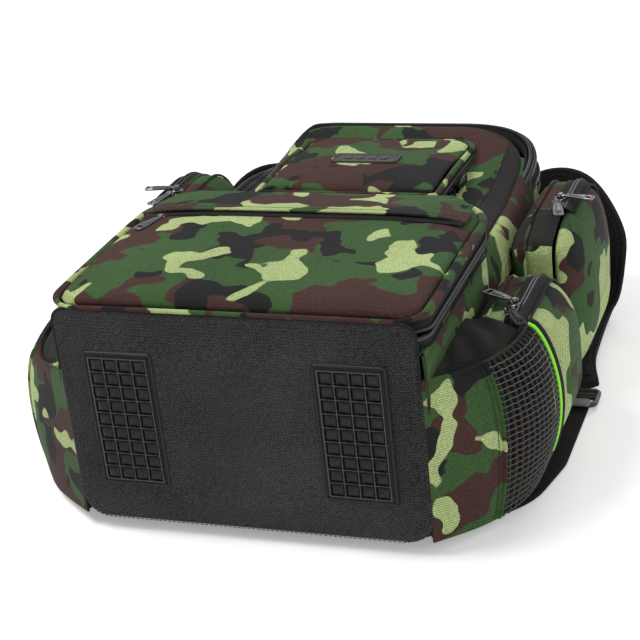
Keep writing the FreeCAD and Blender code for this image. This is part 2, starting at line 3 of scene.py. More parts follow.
import bmesh
import bpy
import numpy as np
from mathutils import Matrix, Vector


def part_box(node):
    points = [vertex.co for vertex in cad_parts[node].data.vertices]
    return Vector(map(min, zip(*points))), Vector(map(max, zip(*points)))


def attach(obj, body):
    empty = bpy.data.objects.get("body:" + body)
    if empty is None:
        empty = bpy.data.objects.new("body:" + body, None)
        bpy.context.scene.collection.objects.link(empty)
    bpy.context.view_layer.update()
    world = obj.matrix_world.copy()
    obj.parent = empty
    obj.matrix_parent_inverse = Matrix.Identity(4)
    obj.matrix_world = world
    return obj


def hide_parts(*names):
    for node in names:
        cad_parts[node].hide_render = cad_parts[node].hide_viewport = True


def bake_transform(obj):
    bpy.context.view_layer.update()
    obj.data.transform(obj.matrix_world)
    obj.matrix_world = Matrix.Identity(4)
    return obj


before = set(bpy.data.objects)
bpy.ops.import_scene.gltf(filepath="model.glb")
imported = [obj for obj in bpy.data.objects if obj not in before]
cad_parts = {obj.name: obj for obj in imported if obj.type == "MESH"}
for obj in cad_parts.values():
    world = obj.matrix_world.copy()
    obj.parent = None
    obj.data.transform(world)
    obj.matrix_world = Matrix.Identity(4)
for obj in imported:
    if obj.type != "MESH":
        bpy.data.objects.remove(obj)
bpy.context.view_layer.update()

mm = 0.001
zUp, zDown, baseOut = (0, 0, 1), np.array([0, 0, -1.0]), (0, -1, 0)


# ---- measuring and mesh helpers, all in millimetres with y counted from the base's face

def nodeBox(node):  # lowest and highest corner of a CAD node in millimetres, row frame
    low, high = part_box(node)
    return np.array(low) / mm, np.array(high) / mm


baseFace = nodeBox("base_panel")[0][1]
bag = {
    "half": nodeBox("gusset_right")[1][0],
    "end": nodeBox("back_panel")[1][1] - baseFace,
    "backLow": nodeBox("back_panel")[0][2],
    "backTop": nodeBox("back_panel")[1][2],
    "zip": nodeBox("gusset_right")[1][2],
    "baseTop": nodeBox("base_panel")[1][2],
    "lidStart": nodeBox("main_lid")[0][1] - baseFace,
    "corner": 100.0,
}


def unit(vectors):  # each vector divided by its length
    vectors = np.asarray(vectors, float)
    return vectors / np.maximum(np.linalg.norm(vectors, axis=-1, keepdims=True), 1e-12)


def smooth(low, high, value):  # 0 below low, 1 above high, an S-curve between
    t = np.clip((value - low) / (high - low), 0, 1)
    return t * t * (3 - 2 * t)


def even(points, step, closed=False):  # points spaced evenly along a polyline
    points = np.asarray(points, float)
    if closed:
        points = np.vstack([points, points[:1]])
    length = np.concatenate([[0], np.cumsum(np.linalg.norm(np.diff(points, axis=0), axis=1))])
    count = max(int(round(length[-1] / step)), 3)
    at = np.linspace(0, length[-1], count + 1)
    if closed:
        at = at[:-1]
    return np.stack([np.interp(at, length, points[:, axis]) for axis in range(3)], 1)


def rounded(points, radii, step, closed=False):  # corners replaced by arcs of the given radii
    points = np.asarray(points, float)
    count = len(points)
    radii = np.broadcast_to(np.asarray(radii, float), (count,))
    runs = []
    for k in range(count):
        if not closed and k in (0, count - 1) or radii[k] <= 0:
            runs.append(points[k][None])
            continue
        before, here, after = points[k - 1], points[k], points[(k + 1) % count]
        back, on = unit(before - here), unit(after - here)
        half = np.arccos(np.clip(back @ on, -1, 1)) / 2
        room = 0.499 * min(np.linalg.norm(before - here), np.linalg.norm(after - here))
        reach = min(radii[k] / np.tan(half), room)
        radius = reach * np.tan(half)
        centre = here + unit(back + on) * radius / np.sin(half)
        first = unit(here + back * reach - centre)
        second = here + on * reach - centre
        second = unit(second - (second @ first) * first)
        turn = np.linspace(0, np.pi - 2 * half, 14)[:, None]
        runs.append(centre + radius * (np.cos(turn) * first + np.sin(turn) * second))
    return even(np.vstack(runs), step, closed)


def curve(points, step):  # a smooth line through the points, each span a cubic between tangents
    points = np.asarray(points, float)
    padded = np.vstack([2 * points[:1] - points[1:2], points, 2 * points[-1:] - points[-2:-1]])
    t = np.linspace(0, 1, 16, endpoint=False)[:, None]
    spans = []
    for k in range(len(points) - 1):
        a, b, c, d = padded[k:k + 4]
        spans.append(0.5 * (2 * b + (c - a) * t + (2 * a - 5 * b + 4 * c - d) * t ** 2
                            + (3 * b - 3 * c + d - a) * t ** 3))
    line = np.vstack(spans + [points[-1:]])
    return line if step is None else even(line, step)


def grid(points, closedRows=False, closedCols=False):  # quads between neighbours in a rows x columns array
    rows, cols = points.shape[:2]
    i = np.arange(rows if closedRows else rows - 1)
    j = np.arange(cols if closedCols else cols - 1)
    i, j = np.meshgrid(i, j, indexing="ij")
    ni, nj = (i + 1) % rows, (j + 1) % cols
    faces = np.stack([i * cols + j, i * cols + nj, ni * cols + nj, ni * cols + j], -1)
    return points.reshape(-1, 3), faces.reshape(-1, 4)


def frames(path, up, closed=False):  # tangent, side and up at each point; side is tangent x up
    if closed:
        tangent = unit(np.roll(path, -1, 0) - np.roll(path, 1, 0))
    else:
        tangent = unit(np.gradient(path, axis=0))
    side = unit(np.cross(tangent, np.broadcast_to(np.asarray(up, float), path.shape)))
    return tangent, side, np.cross(side, tangent)


def sweep(path, profile, up, closed=False):  # ring = path + side times profile x + up times profile y
    _, side, lift = frames(path, up, closed)
    profile = np.asarray(profile, float)
    if profile.ndim == 2:
        profile = np.broadcast_to(profile, (len(path),) + profile.shape)
    rings = path[:, None] + side[:, None] * profile[..., :1] + lift[:, None] * profile[..., 1:]
    if not closed:
        caps = rings.mean(1, keepdims=True)[[0, -1]] * np.ones((1, rings.shape[1], 1))
        rings = np.concatenate([caps[:1], rings, caps[1:]])
    return grid(rings, closed, True)


def oval(width, height, count=10, power=2.0):  # superellipse of that width and height
    angle = np.linspace(0, 2 * np.pi, count, endpoint=False)
    c, s = np.cos(angle), np.sin(angle)
    return np.stack([np.sign(c) * np.abs(c) ** (2 / power) * width / 2,
                     np.sign(s) * np.abs(s) ** (2 / power) * height / 2], 1)


def shell(top, thickness, inward=None):  # a grid given thickness: a second grid below it and a rim between
    if inward is None:
        across = np.gradient(top, axis=0)
        along = np.gradient(top, axis=1)
        inward = -unit(np.cross(across, along))
    rows, cols = top.shape[:2]
    low = top + inward * thickness
    number = np.arange(rows * cols).reshape(rows, cols)
    faces = [grid(top)[1], grid(low)[1][:, ::-1] + rows * cols]
    rim = np.concatenate([number[0, :-1], number[:-1, -1], number[-1, :0:-1], number[:0:-1, 0]])
    after = np.roll(rim, -1)
    faces.append(np.stack([after, rim, rim + rows * cols, after + rows * cols], 1))
    return np.vstack([top.reshape(-1, 3), low.reshape(-1, 3)]), np.vstack(faces)


def layered(outline, normal, layers):
    # rings of one closed outline, each (inset, share of size, height), and both ends closed at the middle
    normal = unit(normal)
    middle = outline.mean(0)
    tangent = unit(np.roll(outline, -1, 0) - np.roll(outline, 1, 0))
    out = np.cross(tangent, normal)
    if ((outline - middle) * out).sum() < 0:
        out = -out
    rings = [middle + (outline - out * inset - middle) * share + normal * height
             for inset, share, height in layers]
    ends = [rings[0].mean(0), rings[-1].mean(0)]
    shape = np.ones((len(outline), 1))
    return grid(np.stack([ends[0] * shape] + rings + [ends[1] * shape]), False, True)


def pillow(outline, normal, thick, crown, belly=0.0, power=2.6, rings=22):
    # a crowned pad: height is crown times (1 - s^power) above a rim that is rounded over its last few percent
    s = np.sin(np.linspace(0.06, np.pi / 2, rings))
    rim = thick / 2 * np.sqrt(np.clip(1 - s ** 26, 0, 1))
    up = [(0, a, b) for a, b in zip(s, crown * (1 - s ** power) + rim)]
    down = [(0, a, -b) for a, b in zip(s, belly * (1 - s ** power) + rim)]
    return layered(outline, normal, down[:-1] + up[::-1])


def boxes(centres, along, side, lift, size):  # many small boxes, eight corners each
    signs = np.array([[a, b, c] for a in (-1, 1) for b in (-1, 1) for c in (-1, 1)]) / 2
    corners = (centres[:, None] + along[:, None] * signs[:, :1] * size[0]
               + side[:, None] * signs[:, 1:2] * size[1] + lift[:, None] * signs[:, 2:] * size[2])
    quads = np.array([[0, 1, 3, 2], [4, 6, 7, 5], [0, 4, 5, 1], [2, 3, 7, 6], [0, 2, 6, 4], [1, 5, 7, 3]])
    faces = quads[None] + 8 * np.arange(len(centres))[:, None, None]
    return corners.reshape(-1, 3), faces.reshape(-1, 4)


def stitches(path, up, pitch=3.0, length=2.0, width=0.55, proud=0.25, closed=False):
    # a row of short thread dashes that stand a little proud along a path
    path = even(path, pitch, closed)
    tangent, side, lift = frames(path, up, closed)
    return boxes(path + lift * proud * 0.4, tangent, side, lift, (length, width, 0.5))


def coil(path, up, width=5.0, height=1.9, pitch=1.5, closed=False):
    # a zip's teeth: an oval ridge whose height rises and falls once each pitch
    path = even(path, pitch / 4, closed)
    wave = 0.68 + 0.32 * np.abs(np.sin(np.arange(len(path)) * np.pi / 4))
    profile = oval(width, height, 8)[None] * np.stack([0.86 + 0.14 * wave, wave], 1)[:, None]
    return sweep(path, profile, up, closed)


def turnAbout(axis, degrees):  # 3x3 rotation matrix
    return np.array(Matrix.Rotation(radians(degrees), 3, axis))


def moved(surface, rotation, place):  # a surface turned and then moved
    points, faces = surface
    return points @ np.asarray(rotation).T + np.asarray(place, float), faces


def mirrored(surface):
    points, faces = surface
    return points * np.array([-1, 1, 1]), faces[:, ::-1]


def flipFor(side):  # the function that puts a surface made for the right side on that side
    return (lambda s: s) if side == "right" else (lambda s: mirrored(s[:2]) + tuple(s[2:]))


def flatSize(points, copies=1):
    # a curved sheet's flat size: its mean arc length each way, the copies laid side by side
    along = np.linalg.norm(np.diff(points, axis=0), axis=2).sum(0).mean()
    across = np.linalg.norm(np.diff(points, axis=1), axis=2).sum(1).mean()
    return along * mm, across * mm * copies


def piece(name, surfaces, materials, body, nodes=(), bend=None):
    # one object from surfaces, each (points, quads) or (points, quads, material number)
    points, faces, marks, start = [], [], [], 0
    for surface in surfaces:
        points.append(surface[0])
        faces.append(surface[1] + start)
        marks.append(np.full(len(surface[1]), 0) + (surface[2] if len(surface) > 2 else 0))
        start += len(surface[0])
    points, faces, marks = np.vstack(points), np.vstack(faces), np.concatenate(marks)
    if bend is not None:
        points = bend(points)
    points = (points + [0, baseFace, 0]) * mm
    mesh = bpy.data.meshes.new(name)
    mesh.vertices.add(len(points))
    mesh.vertices.foreach_set("co", points.astype(np.float32).ravel())
    mesh.loops.add(faces.size)
    mesh.loops.foreach_set("vertex_index", faces.astype(np.int32).ravel())
    mesh.polygons.add(len(faces))
    mesh.polygons.foreach_set("loop_start", np.arange(0, faces.size, 4, dtype=np.int32))
    mesh.polygons.foreach_set("material_index", marks.astype(np.int32))
    mesh.update(calc_edges=True)
    work = bmesh.new()
    work.from_mesh(mesh)
    bmesh.ops.remove_doubles(work, verts=work.verts, dist=2e-6)
    bmesh.ops.recalc_face_normals(work, faces=work.faces)
    work.to_mesh(mesh)
    work.free()
    mesh.polygons.foreach_set("use_smooth", np.ones(len(mesh.polygons), bool))
    mesh.set_sharp_from_angle(angle=radians(38))
    made = bpy.data.objects.new(name, mesh)
    bpy.context.scene.collection.objects.link(made)
    for material in materials:
        mesh.materials.append(material)
    if body is not None:
        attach(made, body)
    if nodes:
        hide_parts(*nodes)
    return made


puffing = {"steps": 20, "stiffness": 25, "smoothing": 0.5, "rounds": 8}


def puff(pad, voxel, pressure, cap):
    # the pad's own cloth blown up a little from inside, with a cap on how far a point may go
    scene = bpy.context.scene
    work = bpy.data.objects.new("puffing", pad.data.copy())
    scene.collection.objects.link(work)
    remesh = work.modifiers.new("Remesh", "REMESH")
    remesh.mode = "VOXEL"
    remesh.voxel_size = voxel * mm
    graph = bpy.context.evaluated_depsgraph_get()
    coarse = bpy.data.meshes.new_from_object(work.evaluated_get(graph))
    work.modifiers.clear()
    work.data = coarse
    start = np.empty(len(coarse.vertices) * 3, np.float32)
    coarse.vertices.foreach_get("co", start)
    cloth = work.modifiers.new("Cloth", "CLOTH")
    cloth.settings.use_pressure = True
    cloth.settings.uniform_pressure_force = pressure
    cloth.settings.effector_weights.gravity = 0
    cloth.settings.tension_stiffness = puffing["stiffness"]
    cloth.settings.compression_stiffness = puffing["stiffness"]
    cloth.point_cache.frame_start = 1
    cloth.point_cache.frame_end = puffing["steps"]
    for number in range(1, puffing["steps"] + 1):
        scene.frame_set(number)
    graph = bpy.context.evaluated_depsgraph_get()
    blown = work.evaluated_get(graph).to_mesh()
    end = np.empty(len(coarse.vertices) * 3, np.float32)
    blown.vertices.foreach_get("co", end)
    scene.frame_set(1)
    start, end = start.reshape(-1, 3), end.reshape(-1, 3)
    move = end - start
    move -= move.mean(0)
    far = np.linalg.norm(move, axis=1, keepdims=True)
    move *= np.minimum(1, cap * mm / np.maximum(far, 1e-9))
    coarse.vertices.foreach_set("co", (start + move).astype(np.float32).ravel())
    coarse.polygons.foreach_set("use_smooth", np.ones(len(coarse.polygons), bool))
    coarse.materials.clear()
    for material in pad.data.materials:
        coarse.materials.append(material)
    coarse.polygons.foreach_set("material_index", np.zeros(len(coarse.polygons), np.int32))
    bpy.data.objects.remove(work)
    pad.data = coarse
    calm = pad.modifiers.new("Smooth", "SMOOTH")
    calm.factor = puffing["smoothing"]
    calm.iterations = puffing["rounds"]
    finer = pad.modifiers.new("Subdivision", "SUBSURF")
    finer.levels = finer.render_levels = 1


print("helpers ready")


# ---- node groups and materials

def groupNodes(name, inputs, outputs):  # an empty shader group with named sockets
    group = bpy.data.node_groups.new(name, "ShaderNodeTree")
    for kind, label, value in inputs:
        socket = group.interface.new_socket(label, in_out="INPUT", socket_type=kind)
        if value is not None:
            socket.default_value = value
    for kind, label in outputs:
        group.interface.new_socket(label, in_out="OUTPUT", socket_type=kind)
    return group, group.nodes.new("NodeGroupInput"), group.nodes.new("NodeGroupOutput")


def addNode(tree, kind, links=(), **values):  # a node with its properties, sockets and incoming links set
    node = tree.nodes.new(kind)
    for key, value in values.items():
        if isinstance(value, tuple) and value and value[0] == "socket":
            node.inputs[value[1]].default_value = value[2]
        else:
            setattr(node, key, value)
    for socket, source in links:
        tree.links.new(source, node.inputs[socket])
    return node


def maths(tree, operation, first, second=None, third=None):  # a Math node on sockets or numbers
    node = tree.nodes.new("ShaderNodeMath")
    node.operation = operation
    for number, value in enumerate((first, second, third)):
        if value is None:
            continue
        if isinstance(value, (int, float)):
            node.inputs[number].default_value = value
        else:
            tree.links.new(value, node.inputs[number])
    return node.outputs[0]


def noiseAt(tree, vector, scale, detail=2.0, rough=0.5, distortion=0.0):
    node = addNode(tree, "ShaderNodeTexNoise", [("Vector", vector)])
    node.inputs["Scale"].default_value = scale
    node.inputs["Detail"].default_value = detail
    node.inputs["Roughness"].default_value = rough
    node.inputs["Distortion"].default_value = distortion
    return node.outputs["Fac"]


def mixColour(tree, factor, first, second):  # colours or sockets mixed by a factor
    node = tree.nodes.new("ShaderNodeMix")
    node.data_type = "RGBA"
    for number, value in ((0, factor), (6, first), (7, second)):
        if hasattr(value, "links"):
            tree.links.new(value, node.inputs[number])
        else:
            node.inputs[number].default_value = value if isinstance(value, float) else (*value, 1)
    return node.outputs[2]


def mapped(tree, value, fromLow=0.0, fromHigh=1.0, toLow=0.0, toHigh=1.0):  # one range stretched to another
    node = addNode(tree, "ShaderNodeMapRange", [("Value", value)])
    for label, number in zip(("From Min", "From Max", "To Min", "To Max"), (fromLow, fromHigh, toLow, toHigh)):
        node.inputs[label].default_value = number
    return node.outputs[0]


camoInks = {
    "dark": (0.034, 0.077, 0.023),
    "brown": (0.048, 0.0215, 0.0180),
    "coal": (0.0092, 0.0105, 0.0095),
    "light": (0.325, 0.400, 0.170),
}
camoEdge = 0.0035


def makeCamoGroup():
    # four inks printed one over another, each where its own wavy noise passes a threshold
    tree, source, target = groupNodes("camoPrint", [("NodeSocketVector", "Vector", None)],
                                      [("NodeSocketColor", "Color")])
    wobble = addNode(tree, "ShaderNodeTexNoise", [("Vector", source.outputs[0])])
    wobble.inputs["Scale"].default_value = 34
    wobble.inputs["Detail"].default_value = 1.0
    centred = addNode(tree, "ShaderNodeVectorMath", [(0, wobble.outputs["Color"])], operation="SUBTRACT")
    centred.inputs[1].default_value = (0.5, 0.5, 0.5)
    scaled = addNode(tree, "ShaderNodeVectorMath", [(0, centred.outputs[0])], operation="SCALE")
    scaled.inputs["Scale"].default_value = 0.036
    warped = addNode(tree, "ShaderNodeVectorMath", [(0, source.outputs[0]), (1, scaled.outputs[0])],
                     operation="ADD").outputs[0]
    colour = camoInks["dark"]
    for ink, shift, scale, level in (("brown", (3.1, 7.7, 1.3), 14.0, 0.485),
                                     ("coal", (9.4, 2.2, 5.8), 19.0, 0.605),
                                     ("light", (5.5, 4.1, 8.6), 15.5, 0.585)):
        at = addNode(tree, "ShaderNodeVectorMath", [(0, warped)], operation="ADD")
        at.inputs[1].default_value = shift
        field = noiseAt(tree, at.outputs[0], scale, 1.2, 0.45, 0.35)
        edge = mapped(tree, field, level - camoEdge, level + camoEdge)
        colour = mixColour(tree, edge, colour, camoInks[ink])
    tree.links.new(colour, target.inputs[0])
    return tree


def makeWeaveGroup():
    # threads: the product of sine waves along two diagonals, with a third for the side faces, and loose flecks
    tree, source, target = groupNodes(
        "clothWeave", [("NodeSocketVector", "Vector", None), ("NodeSocketFloat", "Pitch", 1.6)],
        [("NodeSocketFloat", "Height"), ("NodeSocketFloat", "Shade")])
    parts = addNode(tree, "ShaderNodeSeparateXYZ", [(0, source.outputs["Vector"])])
    x, y, z = parts.outputs
    rate = maths(tree, "DIVIDE", 6283.0, source.outputs["Pitch"])
    first = maths(tree, "ADD", maths(tree, "ADD", x, y), z)
    second = maths(tree, "SUBTRACT", maths(tree, "SUBTRACT", x, y), z)
    third = maths(tree, "SUBTRACT", y, z)
    waves = [maths(tree, "SINE", maths(tree, "MULTIPLY", line, rate)) for line in (first, second, third)]
    crossing = maths(tree, "MULTIPLY", waves[0], waves[1])
    height = maths(tree, "ADD", maths(tree, "MULTIPLY", crossing, 0.42),
                   maths(tree, "MULTIPLY", waves[2], 0.12))
    height = maths(tree, "ADD", height, maths(tree, "MULTIPLY", waves[1], 0.46))
    fleck = noiseAt(tree, source.outputs["Vector"], 620, 2.0, 0.7)
    broad = noiseAt(tree, source.outputs["Vector"], 11, 3.0)
    shade = maths(tree, "ADD", maths(tree, "MULTIPLY", height, 0.34),
                  maths(tree, "ADD", maths(tree, "MULTIPLY", fleck, 0.85), maths(tree, "MULTIPLY", broad, 0.3)))
    shade = maths(tree, "SUBTRACT", shade, 0.075)
    tree.links.new(height, target.inputs["Height"])
    tree.links.new(shade, target.inputs["Shade"])
    return tree


camoGroup = makeCamoGroup()
weaveGroup = makeWeaveGroup()


def startMaterial(name, colour, rough, **constants):  # a Principled material with constants on its own sockets
    material = bpy.data.materials.new(name)
    material.use_nodes = True
    tree = material.node_tree
    shader = tree.nodes["Principled BSDF"]
    shader.inputs["Base Color"].default_value = (*colour, 1)
    shader.inputs["Roughness"].default_value = rough
    for key, value in constants.items():
        shader.inputs[key.replace("_", " ")].default_value = value
    material.diffuse_color = (*colour, 1)
    return material, tree, shader


def objectPoint(tree, offset=(0, 0, 0), turn=(0, 0, 0), scale=(1, 1, 1)):
    source = tree.nodes.new("ShaderNodeTexCoord")
    mapping = addNode(tree, "ShaderNodeMapping", [("Vector", source.outputs["Object"])])
    mapping.inputs["Location"].default_value = offset
    mapping.inputs["Rotation"].default_value = turn
    mapping.inputs["Scale"].default_value = scale
    return mapping.outputs[0]


def bumpInto(tree, shader, height, distance, strength=1.0):
    bump = addNode(tree, "ShaderNodeBump", [("Height", height)])
    bump.inputs["Distance"].default_value = distance * mm
    bump.inputs["Strength"].default_value = strength
    tree.links.new(bump.outputs[0], shader.inputs["Normal"])


def useWeave(tree, pitch):  # the weave group on plain Object coordinates
    weave = tree.nodes.new("ShaderNodeGroup")
    weave.node_tree = weaveGroup
    tree.links.new(objectPoint(tree), weave.inputs["Vector"])
    weave.inputs["Pitch"].default_value = pitch
    return weave


def multiplied(tree, colour, factor):  # a colour made lighter or darker by a factor
    node = tree.nodes.new("ShaderNodeMix")
    node.data_type = "RGBA"
    node.blend_type = "MULTIPLY"
    node.inputs[0].default_value = 1.0
    for number, value in ((6, colour), (7, factor)):
        if hasattr(value, "links"):
            tree.links.new(value, node.inputs[number])
        else:
            node.inputs[number].default_value = (*value, 1)
    return node.outputs[2]


def clothMaterial(name, colour, pitch=1.7, depth=0.25, rough=0.85, contrast=(0.55, 1.7), sheen=0.03):
    # plain woven cloth: the colour times the weave's shade, with the threads as bump
    material, tree, shader = startMaterial(name, colour, rough, Sheen_Weight=sheen, Sheen_Roughness=0.5,
                                           Specular_IOR_Level=0.14)
    weave = useWeave(tree, pitch)
    shade = mapped(tree, weave.outputs["Shade"], 0.2, 0.8, *contrast)
    tree.links.new(multiplied(tree, colour, shade), shader.inputs["Base Color"])
    bumpInto(tree, shader, weave.outputs["Height"], depth)
    return material


def camoMaterial(name, offset, turn=(0, 0, 0), scale=(1, 1, 1), contrast=(0.42, 1.62)):
    # the camouflage print, made lighter and darker by the weave
    material, tree, shader = startMaterial(name, camoInks["dark"], 0.82, Sheen_Weight=0.03,
                                           Sheen_Roughness=0.5, Specular_IOR_Level=0.14)
    camo = tree.nodes.new("ShaderNodeGroup")
    camo.node_tree = camoGroup
    tree.links.new(objectPoint(tree, offset, turn, scale), camo.inputs["Vector"])
    weave = useWeave(tree, 2.1)
    shade = mapped(tree, weave.outputs["Shade"], 0.2, 0.8, *contrast)
    tree.links.new(multiplied(tree, camo.outputs[0], shade), shader.inputs["Base Color"])
    bumpInto(tree, shader, weave.outputs["Height"], 0.16)
    return material


def mouldedMaterial(name, colour, rough, grain=0.05, scale=700, **constants):
    # moulded rubber or plastic: fine noise for the grain and tint, broad noise for the roughness
    material, tree, shader = startMaterial(name, colour, rough, **constants)
    point = objectPoint(tree)
    field = noiseAt(tree, point, scale, 3.0, 0.6)
    dust = mapped(tree, noiseAt(tree, point, 26, 3.0), toLow=rough - 0.10, toHigh=rough + 0.12)
    tree.links.new(dust, shader.inputs["Roughness"])
    tint = mapped(tree, field, toLow=0.7, toHigh=1.35)
    tree.links.new(multiplied(tree, colour, tint), shader.inputs["Base Color"])
    bumpInto(tree, shader, field, grain)
    return material


def metalMaterial(name, colour, rough):
    # plated zinc: stretched noise for the brushing, and a blotchy one for worn, rougher patches
    material, tree, shader = startMaterial(name, colour, rough, Metallic=1.0)
    brushed = noiseAt(tree, objectPoint(tree, scale=(1, 1, 9)), 420, 2.0)
    worn = noiseAt(tree, objectPoint(tree), 140, 4.0, 0.65)
    tree.links.new(mapped(tree, worn, toLow=rough - 0.08, toHigh=rough + 0.22), shader.inputs["Roughness"])
    tint = mapped(tree, worn, toLow=0.7, toHigh=1.3)
    tree.links.new(multiplied(tree, colour, tint), shader.inputs["Base Color"])
    bumpInto(tree, shader, brushed, 0.02)
    return material


def furMaterial(name, colour):
    # brushed lining: stretched fine noise for short fibres, in the colour and the bump
    material, tree, shader = startMaterial(name, colour, 0.95, Sheen_Weight=0.06, Sheen_Roughness=0.6,
                                           Specular_IOR_Level=0.1)
    fibre = noiseAt(tree, objectPoint(tree, scale=(1.6, 1, 0.7)), 380, 5.0, 0.75, 0.6)
    tint = mapped(tree, fibre, 0.3, 0.75, 0.2, 2.9)
    tree.links.new(multiplied(tree, colour, tint), shader.inputs["Base Color"])
    bumpInto(tree, shader, fibre, 1.1)
    return material


def meshMaterial(name, colour):
    # spacer mesh: the distance to a cell's middle makes round holes, darkened as painted shade
    material, tree, shader = startMaterial(name, colour, 0.8, Sheen_Weight=0.2)
    cells = addNode(tree, "ShaderNodeTexVoronoi", [("Vector", objectPoint(tree))])
    cells.inputs["Scale"].default_value = 330
    cells.inputs["Randomness"].default_value = 0.25
    edge = mapped(tree, cells.outputs["Distance"], 0.25, 0.5)
    # painted shade: the holes' colour is the mesh colour at a quarter, for the shade inside them
    hole = tuple(0.25 * channel for channel in colour)
    tree.links.new(mixColour(tree, edge, hole, colour), shader.inputs["Base Color"])
    bumpInto(tree, shader, edge, 0.9)
    return material


black = (0.013, 0.0128, 0.0135)
finish = {
    "base": clothMaterial("coarseBlackTwill", (0.0115, 0.0112, 0.0112), 2.5, 0.45, 0.8, (-1.2, 6.3)),
    "black": clothMaterial("blackPolyester", (0.0175, 0.0150, 0.0148), 2.4, 0.25, 0.85, (0.3, 2.0)),
    "tape": clothMaterial("zipTape", black, 1.1, 0.2, 0.8, (0.5, 1.7)),
    "strap": clothMaterial("strapCloth", (0.009, 0.009, 0.0095), 1.8, 0.25, 0.85, (0.6, 1.5)),
    "webbing": clothMaterial("ribbedWebbing", (0.010, 0.010, 0.010), 2.2, 0.5, 0.75, (0.5, 1.7)),
    "lime": clothMaterial("limePiping", (0.27, 0.80, 0.045), 0.9, 0.08, 0.6, (0.9, 1.12)),
    "thread": clothMaterial("blackThread", (0.030, 0.029, 0.028), 0.6, 0.1, 0.7),
    "paleThread": clothMaterial("paleThread", (0.17, 0.23, 0.09), 0.6, 0.1, 0.7),
    "net": clothMaterial("netThread", (0.022, 0.022, 0.021), 0.8, 0.15, 0.6),
    "netGloss": mouldedMaterial("glossyNetThread", (0.055, 0.055, 0.052), 0.35, 0.02),
    "coil": mouldedMaterial("zipTeeth", (0.012, 0.012, 0.013), 0.42, 0.02),
    "rubber": mouldedMaterial("footRubber", (0.0052, 0.0052, 0.0054), 0.46, 0.05, 700, Specular_IOR_Level=0.3),
    "rib": mouldedMaterial("paleRubberRib", (0.040, 0.040, 0.041), 0.42, 0.03),
    "badge": mouldedMaterial("badgeRubber", (0.040, 0.041, 0.038), 0.55, 0.04),
    "plastic": mouldedMaterial("bucklePlastic", (0.020, 0.020, 0.021), 0.38, 0.02),
    "tip": mouldedMaterial("buckleTip", (0.16, 0.16, 0.165), 0.45, 0.02),
    "steel": metalMaterial("pullMetal", (0.20, 0.20, 0.21), 0.30),
    "jet": metalMaterial("blackPullMetal", (0.035, 0.035, 0.037), 0.22),
    "fur": furMaterial("brushedLining", (0.0085, 0.0078, 0.0072)),
    "lining": clothMaterial("innerLining", (0.020, 0.020, 0.021), 1.2, 0.1, 0.9),
    "mesh": meshMaterial("spacerMesh", (0.017, 0.017, 0.018)),
}
camoOffsets = {
    "lower": ((0.131, 0.052, 0.02), (0, 0, 0.35)),
    "lowerWall": ((0.4, 0.11, 0.33), (0.2, 0, 0)),
    "flap": ((0.52, 0.17, 0.2), (0, 0, 0.5)),
    "main": ((0.23, 0.61, 0.07), (0, 0, -0.3)),
    "strip": ((0.71, 0.29, 0.44), (0, 0, 0.2)),
    "upper": ((0.85, 0.43, 0.09), (0, 0, 0.15)),
    "slip": ((0.34, 0.72, 0.58), (0.3, 0, 0)),
    "near": ((0.11, 0.37, 0.81), (0, 0.3, 0)),
    "far": ((0.64, 0.08, 0.27), (0, -0.2, 0)),
    "side": ((0.93, 0.55, 0.66), (0.1, 0.1, 0)),
}
for name, (offset, turn) in camoOffsets.items():
    finish[name] = camoMaterial("camo" + name.capitalize(), offset, turn)
# painted shade: the slip camo made much darker for the sheet behind the net, for the shadow that falls behind the
# net
finish["behindNet"] = camoMaterial("camoBehindNetPaintedShade", *camoOffsets["slip"], contrast=(0.1, 0.55))
finish["piping"] = camoMaterial("camoPiping", (0.05, 0.91, 0.4), (0.4, 0.3, 0.1), (1.35, 1.35, 1.35))
print("materials ready")


# ---- camera, floor and light

view = {"azimuth": 21.4, "elevation": 24.52, "roll": -6.54, "lens": 97.28,
        "place": (0.51751, -1.38655, 0.75522)}


def makeCamera():
    a, e, r = (radians(view[key]) for key in ("azimuth", "elevation", "roll"))
    forward = np.array([-np.sin(a) * np.cos(e), np.cos(a) * np.cos(e), -np.sin(e)])
    right = unit(np.cross(forward, [0, 0, 1]))
    up = np.cross(right, forward)
    rolled = np.cos(r) * right + np.sin(r) * up
    lifted = -np.sin(r) * right + np.cos(r) * up
    camera = bpy.data.objects.new("camera", bpy.data.cameras.new("camera"))
    camera.data.lens = view["lens"]
    camera.data.sensor_width = 36
    camera.data.clip_end = 20
    matrix = np.eye(4)
    matrix[:3, 0], matrix[:3, 1], matrix[:3, 2], matrix[:3, 3] = rolled, lifted, -forward, view["place"]
    camera.matrix_world = Matrix(matrix.tolist())
    bpy.context.scene.collection.objects.link(camera)
    bpy.context.scene.camera = camera


def makeLight(name, place, aim, size, power):
    light = bpy.data.lights.new(name, "AREA")
    light.shape = "DISK"
    light.size = size
    light.energy = power
    lamp = bpy.data.objects.new(name, light)
    lamp.location = place
    towards = unit(np.array(aim) - np.array(place))
    away = unit(np.cross(towards, [0.01, 0.02, 1.0]))
    matrix = np.eye(4)
    matrix[:3, 0], matrix[:3, 1], matrix[:3, 2] = away, np.cross(away, towards), -towards
    matrix[:3, 3] = place
    lamp.matrix_world = Matrix(matrix.tolist())
    bpy.context.scene.collection.objects.link(lamp)


makeCamera()
makeLight("keyLight", (-1.0, -0.5, 2.0), (0, 0, 0.1), 1.1, 34)
makeLight("fillLight", (1.8, -0.9, 1.0), (0, 0, 0.1), 1.3, 9)
makeLight("backLight", (0.5, 1.7, 1.6), (0, 0, 0.15), 1.2, 16)
world = bpy.data.worlds.new("studio")
world.use_nodes = True
world.node_tree.nodes["Background"].inputs[0].default_value = (1.0, 1.0, 1.0, 1)
world.node_tree.nodes["Background"].inputs[1].default_value = 0.50
bpy.context.scene.world = world
bpy.context.scene.view_settings.view_transform = "Standard"

